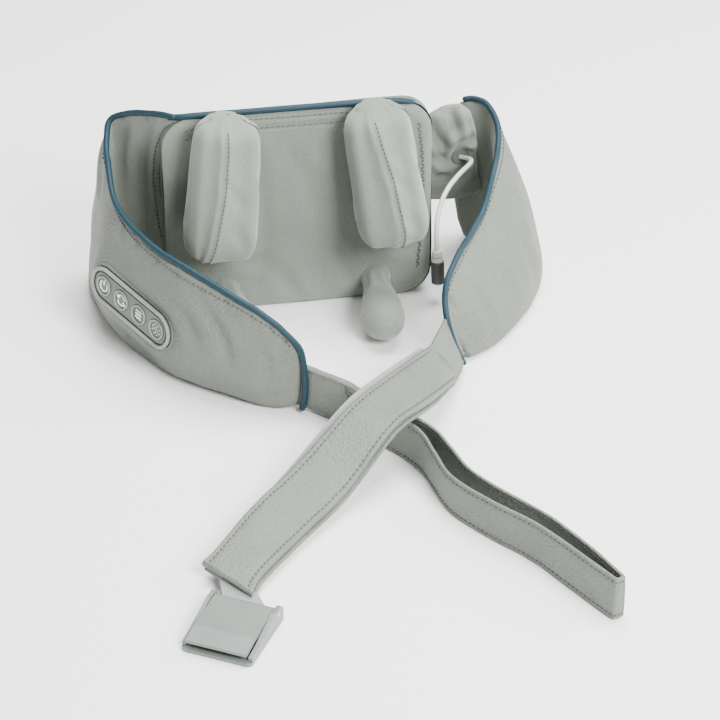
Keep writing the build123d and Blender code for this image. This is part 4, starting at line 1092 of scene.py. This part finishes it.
class MASSAGER_OT_controls(bpy.types.Operator):
    """Finish the control pod and put the symbols and rims on its four buttons"""
    bl_idname = "massager.controls"
    bl_label = "Control pod"

    def execute(self, context):
        dress("pod", "control_bezel", "button_1", "button_2", "button_3", "button_4")
        for i, kind in enumerate(("power", "direction", "heat", "mode")):
            along = (i - 1.5) * BUTTON_PITCH
            points, faces = [], []
            for stroke in icon_strokes(kind):
                line = [pod_point(along + x, y, 2.95) for x, y in stroke]
                spots, quads = tube_data(line, 0.68)
                faces += [tuple(v + len(points) for v in quad) for quad in quads]
                points += list(spots)
            symbol = mesh_piece(f"{kind}_symbol", points, faces, ["icon"])
            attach(symbol, f"button_{kind}")
            rim = [pod_point(along + x, y, 3.35) for x, y in arc((0, 0), 7.6, 0, 360, 60)]
            ring = tube(f"{kind}_rim", rim, 0.85, "rim", f"button_{kind}", sides=8)
        lip = [pod_point(x, y, 2.9) for x, y in stadium(POD_HALF, 14.2)]
        tube("pod_lip", lip, 1.5, "rim", sides=10)
        # the skin's folded edge where it is sewn round the pod
        welt = [pod_point(x, y, -0.2) for x, y in stadium(POD_HALF, 16.6)]
        tube("pod_welt", welt, 1.5, "hide", sides=10)
        return {"FINISHED"}


def stadium(half, radius, count=30):
    """Closed outline of a slot, as flat points."""
    right = [(half + radius * sin(a), -radius * cos(a)) for a in np.linspace(0, pi, count)]
    left = [(-half - radius * sin(a), radius * cos(a)) for a in np.linspace(0, pi, count)]
    return right + left + right[:1]


# ---------------------------------------------------------------- straps
# half a strap's section: share of its width, and share of its thickness above its middle
TOP_PROFILE = ((0.0, 0.10), (0.006, 0.30), (0.02, 0.45), (0.05, 0.50), (0.075, 0.44), (0.10, 0.36),
               (0.125, 0.46), (0.17, 0.52), (0.3, 0.55), (0.5, 0.56))


def band_grid(edges, thick, per=8, layered=True):
    """Sections of a flat strap between pairs of edge points, with round edges and drawn-in stitch lines."""
    rows = smooth_line(np.array(edges, float), per)
    a, b = rows[:, 0], rows[:, 1]
    ahead = unit(np.gradient((a + b) / 2, axis=0))
    across = b - a
    normal = unit(np.cross(unit(across), ahead))
    half = list(TOP_PROFILE) + [(1 - s, h) for s, h in TOP_PROFILE[-2::-1]]
    if not layered:
        half = [(s, 0.45 if 0 < s < 1 else 0.2) for s, _ in half]
    ring = [(s, h) for s, h in half] + ([(1.0 - 0.012, 0.0)] if layered else [])
    ring += [(s, -h) for s, h in half[::-1]] + ([(0.012, 0.0)] if layered else [])
    grid = np.stack([a + across * s + normal * (h * thick) for s, h in ring], axis=1)
    widths = np.linalg.norm(across, axis=1).mean()
    return grid, normal, [s * widths * MM for s, _ in ring], half


def band(name, edges, thick, finish_name, nodes, layered=True, seed=1, wrinkle=0.5):
    """A flat strap as one closed piece, with its ends capped flat."""
    grid, normal, v, half = band_grid(edges, thick, layered=layered)
    normals = np.repeat(normal[:, None], grid.shape[1], axis=1)
    if wrinkle:
        grid = ripple(grid, normals, 22, wrinkle, seed, (1, 1, 1))
    rows, columns = grid.shape[:2]
    run = np.r_[0, np.cumsum(np.linalg.norm(np.diff(grid.mean(axis=1), axis=0), axis=1))] * MM
    points = grid.reshape(-1, 3)
    faces = grid_faces(rows, columns, True) + [tuple(range(columns))[::-1],
                                              tuple(range((rows - 1) * columns, rows * columns))]
    uvs = [(run[i], v[j]) for i in range(rows) for j in range(columns)]
    piece = mesh_piece(name, points, faces, [finish_name], uvs=uvs)
    tidy_normals(piece)
    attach(piece, ROOT)
    if nodes:
        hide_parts(*nodes)
    return piece, grid, normals, half


def edge_stitches(name, grid, normals, half, under=False, rows=slice(1, -1), shares=(0.10, 0.90)):
    """Stitches in a strap's two drawn-in lines, on its upper or under side."""
    columns = grid.shape[1]
    for k, share in enumerate(shares):
        j = min(range(len(half)), key=lambda i: abs(half[i][0] - share))
        if under:
            j = columns - 2 - j if columns % 2 == 0 else columns - 1 - j
        line = grid[rows, j]
        up = normals[rows, j] * (-1 if under else 1)
        stitches(f"{name}_{k}", line + up * 0.15, up)


RIGHT_EDGES = [((77, -176, 42), (99, -178, 10)), ((37, -225, 51), (66, -244, 37)),
               ((2, -260, 51), (29, -286, 43)), ((-42, -298, 32), (-13, -323, 17)),
               ((-85, -338, 22), (-56, -366, 11)),
               ((-112, -372, 17), (-86, -402, 10)), ((-124, -384, 15), (-94, -418, 8))]
FRONT_LAYER = [(7, -208.4), (27, -241), (48.1, -275.3), (55, -306), (61.6, -337.3), (82, -371),
               (105.1, -401.3), (124, -437), (141.6, -471.5)]
BACK_LAYER = [(149.0, -468.8), (134, -431), (115.9, -395.2), (93, -362), (75.8, -332.4), (68, -302),
              (58.9, -272.4), (34, -239), (11, -206.6)]


class MASSAGER_OT_straps(bpy.types.Operator):
    """Make the two hand loops, their sewn tabs and the elastic webbing"""
    bl_idname = "massager.straps"
    bl_label = "Straps"

    def execute(self, context):
        # right loop: two layers laid flat, falling from the wing to the floor
        piece, grid, normals, half = band("right_loop", RIGHT_EDGES, 5.2, "hide", ["right_strap"],
                                          seed=3, wrinkle=1.7)
        up = normals[:, :1, 2].mean() > 0
        edge_stitches("right_loop_stitches", grid, normals, half, under=not up)
        under = []
        for a, b in np.array(RIGHT_EDGES, float):
            across = unit(b - a)
            down = unit(np.array([0, 0, -1.0]) + across * across[2])
            under.append((a + down * 3.8 + across * 2.5, b + down * 3.8 + across * 2.5))
        band("right_loop_under", under, 2.2, "hide", [], seed=4, wrinkle=0.7)
        tab = [((104, -128, 43), (117, -133, 8)), ((99.5, -136, 45), (110, -141.5, 6)),
               ((95, -145, 45), (108.5, -151, 8)), ((88, -158, 44), (106, -163, 9.5)),
               ((79, -174, 43), (100, -176, 10)), ((74.5, -179.5, 42.5), (97, -181.5, 10))]
        piece, grid, normals, half = band("right_tab", tab, 3.2, "hide", ["right_strap_tab"], seed=6,
                                          wrinkle=0.7)
        side = -1 if normals[..., 1].mean() > 0 else 1
        rows = len(grid) - 1
        for name, ends in (("across", ((rows - 2, 0.12), (rows - 2, 0.88))),
                           ("slant", ((3, 0.14), (rows - 3, 0.86))),
                           ("back", ((3, 0.86), (rows - 3, 0.14)))):
            picks = [min(range(len(half)), key=lambda i: abs(half[i][0] - share)) for _, share in ends]
            spots = [grid[row, j] for (row, _), j in zip(ends, picks)]
            line = even_line(spots, 1.5) + normals[rows // 2, 0] * side * 0.3
            stitches(f"right_tab_{name}", line, np.tile(normals[rows // 2, 0] * side, (len(line), 1)))

        # left loop: one band standing on its edge, out to the fold and back
        fold = [(145.4, -475.0), (148.6, -473.4)]
        path = FRONT_LAYER + fold + BACK_LAYER
        edges = []
        for i, (x, y) in enumerate(path):
            lean = 0.8 * sin(i * 1.1)
            edges.append(((x + lean, y + 0.4 * lean, 34.0 + 0.5 * sin(i * 0.9)), (x - 0.3 * lean, y, 0.4)))
        piece, grid, normals, half = band("left_loop", edges, 2.6, "hide",
                                          ["left_strap", "left_strap_return"], layered=True, seed=9, wrinkle=0.5)
        edge_stitches("left_loop_outer", grid, normals, half)
        edge_stitches("left_loop_inner", grid, normals, half, under=True)
        root = [((-30, -176, 40), (-28, -177, 4)), ((-17, -186, 39.5), (-15, -188, 2)),
                ((-8, -194, 38.5), (-7, -195, 1)), ((1, -201, 37.5), (1, -202, 0.6)),
                ((9, -207.5, 36), (9, -208, 0.6)), ((17, -219, 35), (17, -219.5, 0.6))]
        piece, grid, normals, half = band("left_tab", root, 6.0, "hide", ["left_strap_tab"],
                                          seed=12, wrinkle=1.6)
        line = even_line([(7.4, -212.4, 35.5), (7.6, -212.6, 18), (7.4, -212.4, 1.5)], 1.0)
        stitches("left_tab_seam", line, np.tile(unit((-0.4, -0.9, 0)), (len(line), 1)), step=3.2)

        # the elastic webbing runs under the right loop to the buckle
        web = []
        for (a, b), shift in zip(RIGHT_EDGES[:6], (-10, -13.5, -14, -12, -8, 0)):
            a, b = np.array(a, float), np.array(b, float)
            across = unit(b - a)
            down = np.array([0, 0, -1.0])
            down = unit(down - across * (down @ across))
            middle = (a + b) / 2 + across * shift + down * 5.6
            half_width = 12.5 if shift < -6 else 17.0
            web.append((middle - across * half_width, middle + across * half_width))
        hinge = joint_at("buckle_flap_hinge")
        axis = unit(np.array([cos(radians(-31)), sin(radians(-31)), 0]))
        middle = np.array([hinge[0], hinge[1], 4.4]) + np.array([-axis[1], axis[0], 0]) * 2
        web.append((middle - axis * 17.0 + (0, 0, 0.8), middle + axis * 17.0 + (0, 0, 0.8)))
        band("elastic_web", web, 1.8, "web", ["elastic_webbing"], layered=False, wrinkle=0.4)
        return {"FINISHED"}


# ---------------------------------------------------------------- buckle and inner works
class MASSAGER_OT_works(bpy.types.Operator):
    """Finish the buckle and the housings, gears, motor and boards inside"""
    bl_idname = "massager.works"
    bl_label = "Buckle and inner works"

    def execute(self, context):
        dress("buckle", "buckle_frame", "buckle_cover")
        dress("dark", "front_housing", "rear_housing", "battery_tray", "pod_tray")
        dress("nylon", "left_arm", "right_arm", "left_blade_core", "right_blade_core", "drive_chassis")
        dress("acetal", "left_idler", "right_idler", "left_bushes", "right_bushes", "motor_pinion")
        dress("steel", "left_kingpin", "right_kingpin", "idler_pins", "output_shaft", "gearbox", "motor_can",
              "housing_screws", "buckle_pin")
        dress("board", "main_board", "control_board")
        dress("chips", "board_parts")
        dress("cell", "battery_cells")
        dress("film", "heating_film")
        dress("silicone", "keypad_membrane")
        return {"FINISHED"}


# ---------------------------------------------------------------- panel, registration and running
STEPS = ("stage", "lead", "module", "hands", "wings", "gusset", "controls", "straps", "works")


class MASSAGER_PT_build(bpy.types.Panel):
    """Lists the sizes, the colours and the steps that build the massager"""
    bl_idname = "MASSAGER_PT_build"
    bl_label = "Neck massager"
    bl_space_type = "VIEW_3D"
    bl_region_type = "UI"
    bl_category = "Massager"

    def draw(self, context):
        for group in (context.scene.massager_sizes, context.scene.massager_colours):
            for name in group.__annotations__:
                self.layout.prop(group, name)
        for step in STEPS:
            self.layout.operator(f"massager.{step}")


CLASSES = (MassagerColours, MassagerSizes, MASSAGER_OT_stage, MASSAGER_OT_lead, MASSAGER_OT_module,
           MASSAGER_OT_hands, MASSAGER_OT_wings, MASSAGER_OT_gusset, MASSAGER_OT_controls, MASSAGER_OT_straps,
           MASSAGER_OT_works, MASSAGER_PT_build)


def register():
    for item in CLASSES:
        bpy.utils.register_class(item)
    bpy.types.Scene.massager_colours = PointerProperty(type=MassagerColours)
    bpy.types.Scene.massager_sizes = PointerProperty(type=MassagerSizes)


def unregister():
    del bpy.types.Scene.massager_sizes
    del bpy.types.Scene.massager_colours
    for item in reversed(CLASSES):
        bpy.utils.unregister_class(item)


def main():
    register()
    for step in STEPS:
        getattr(bpy.ops.massager, step)()
    bpy.context.view_layer.update()


if __name__ == "__main__":
    main()
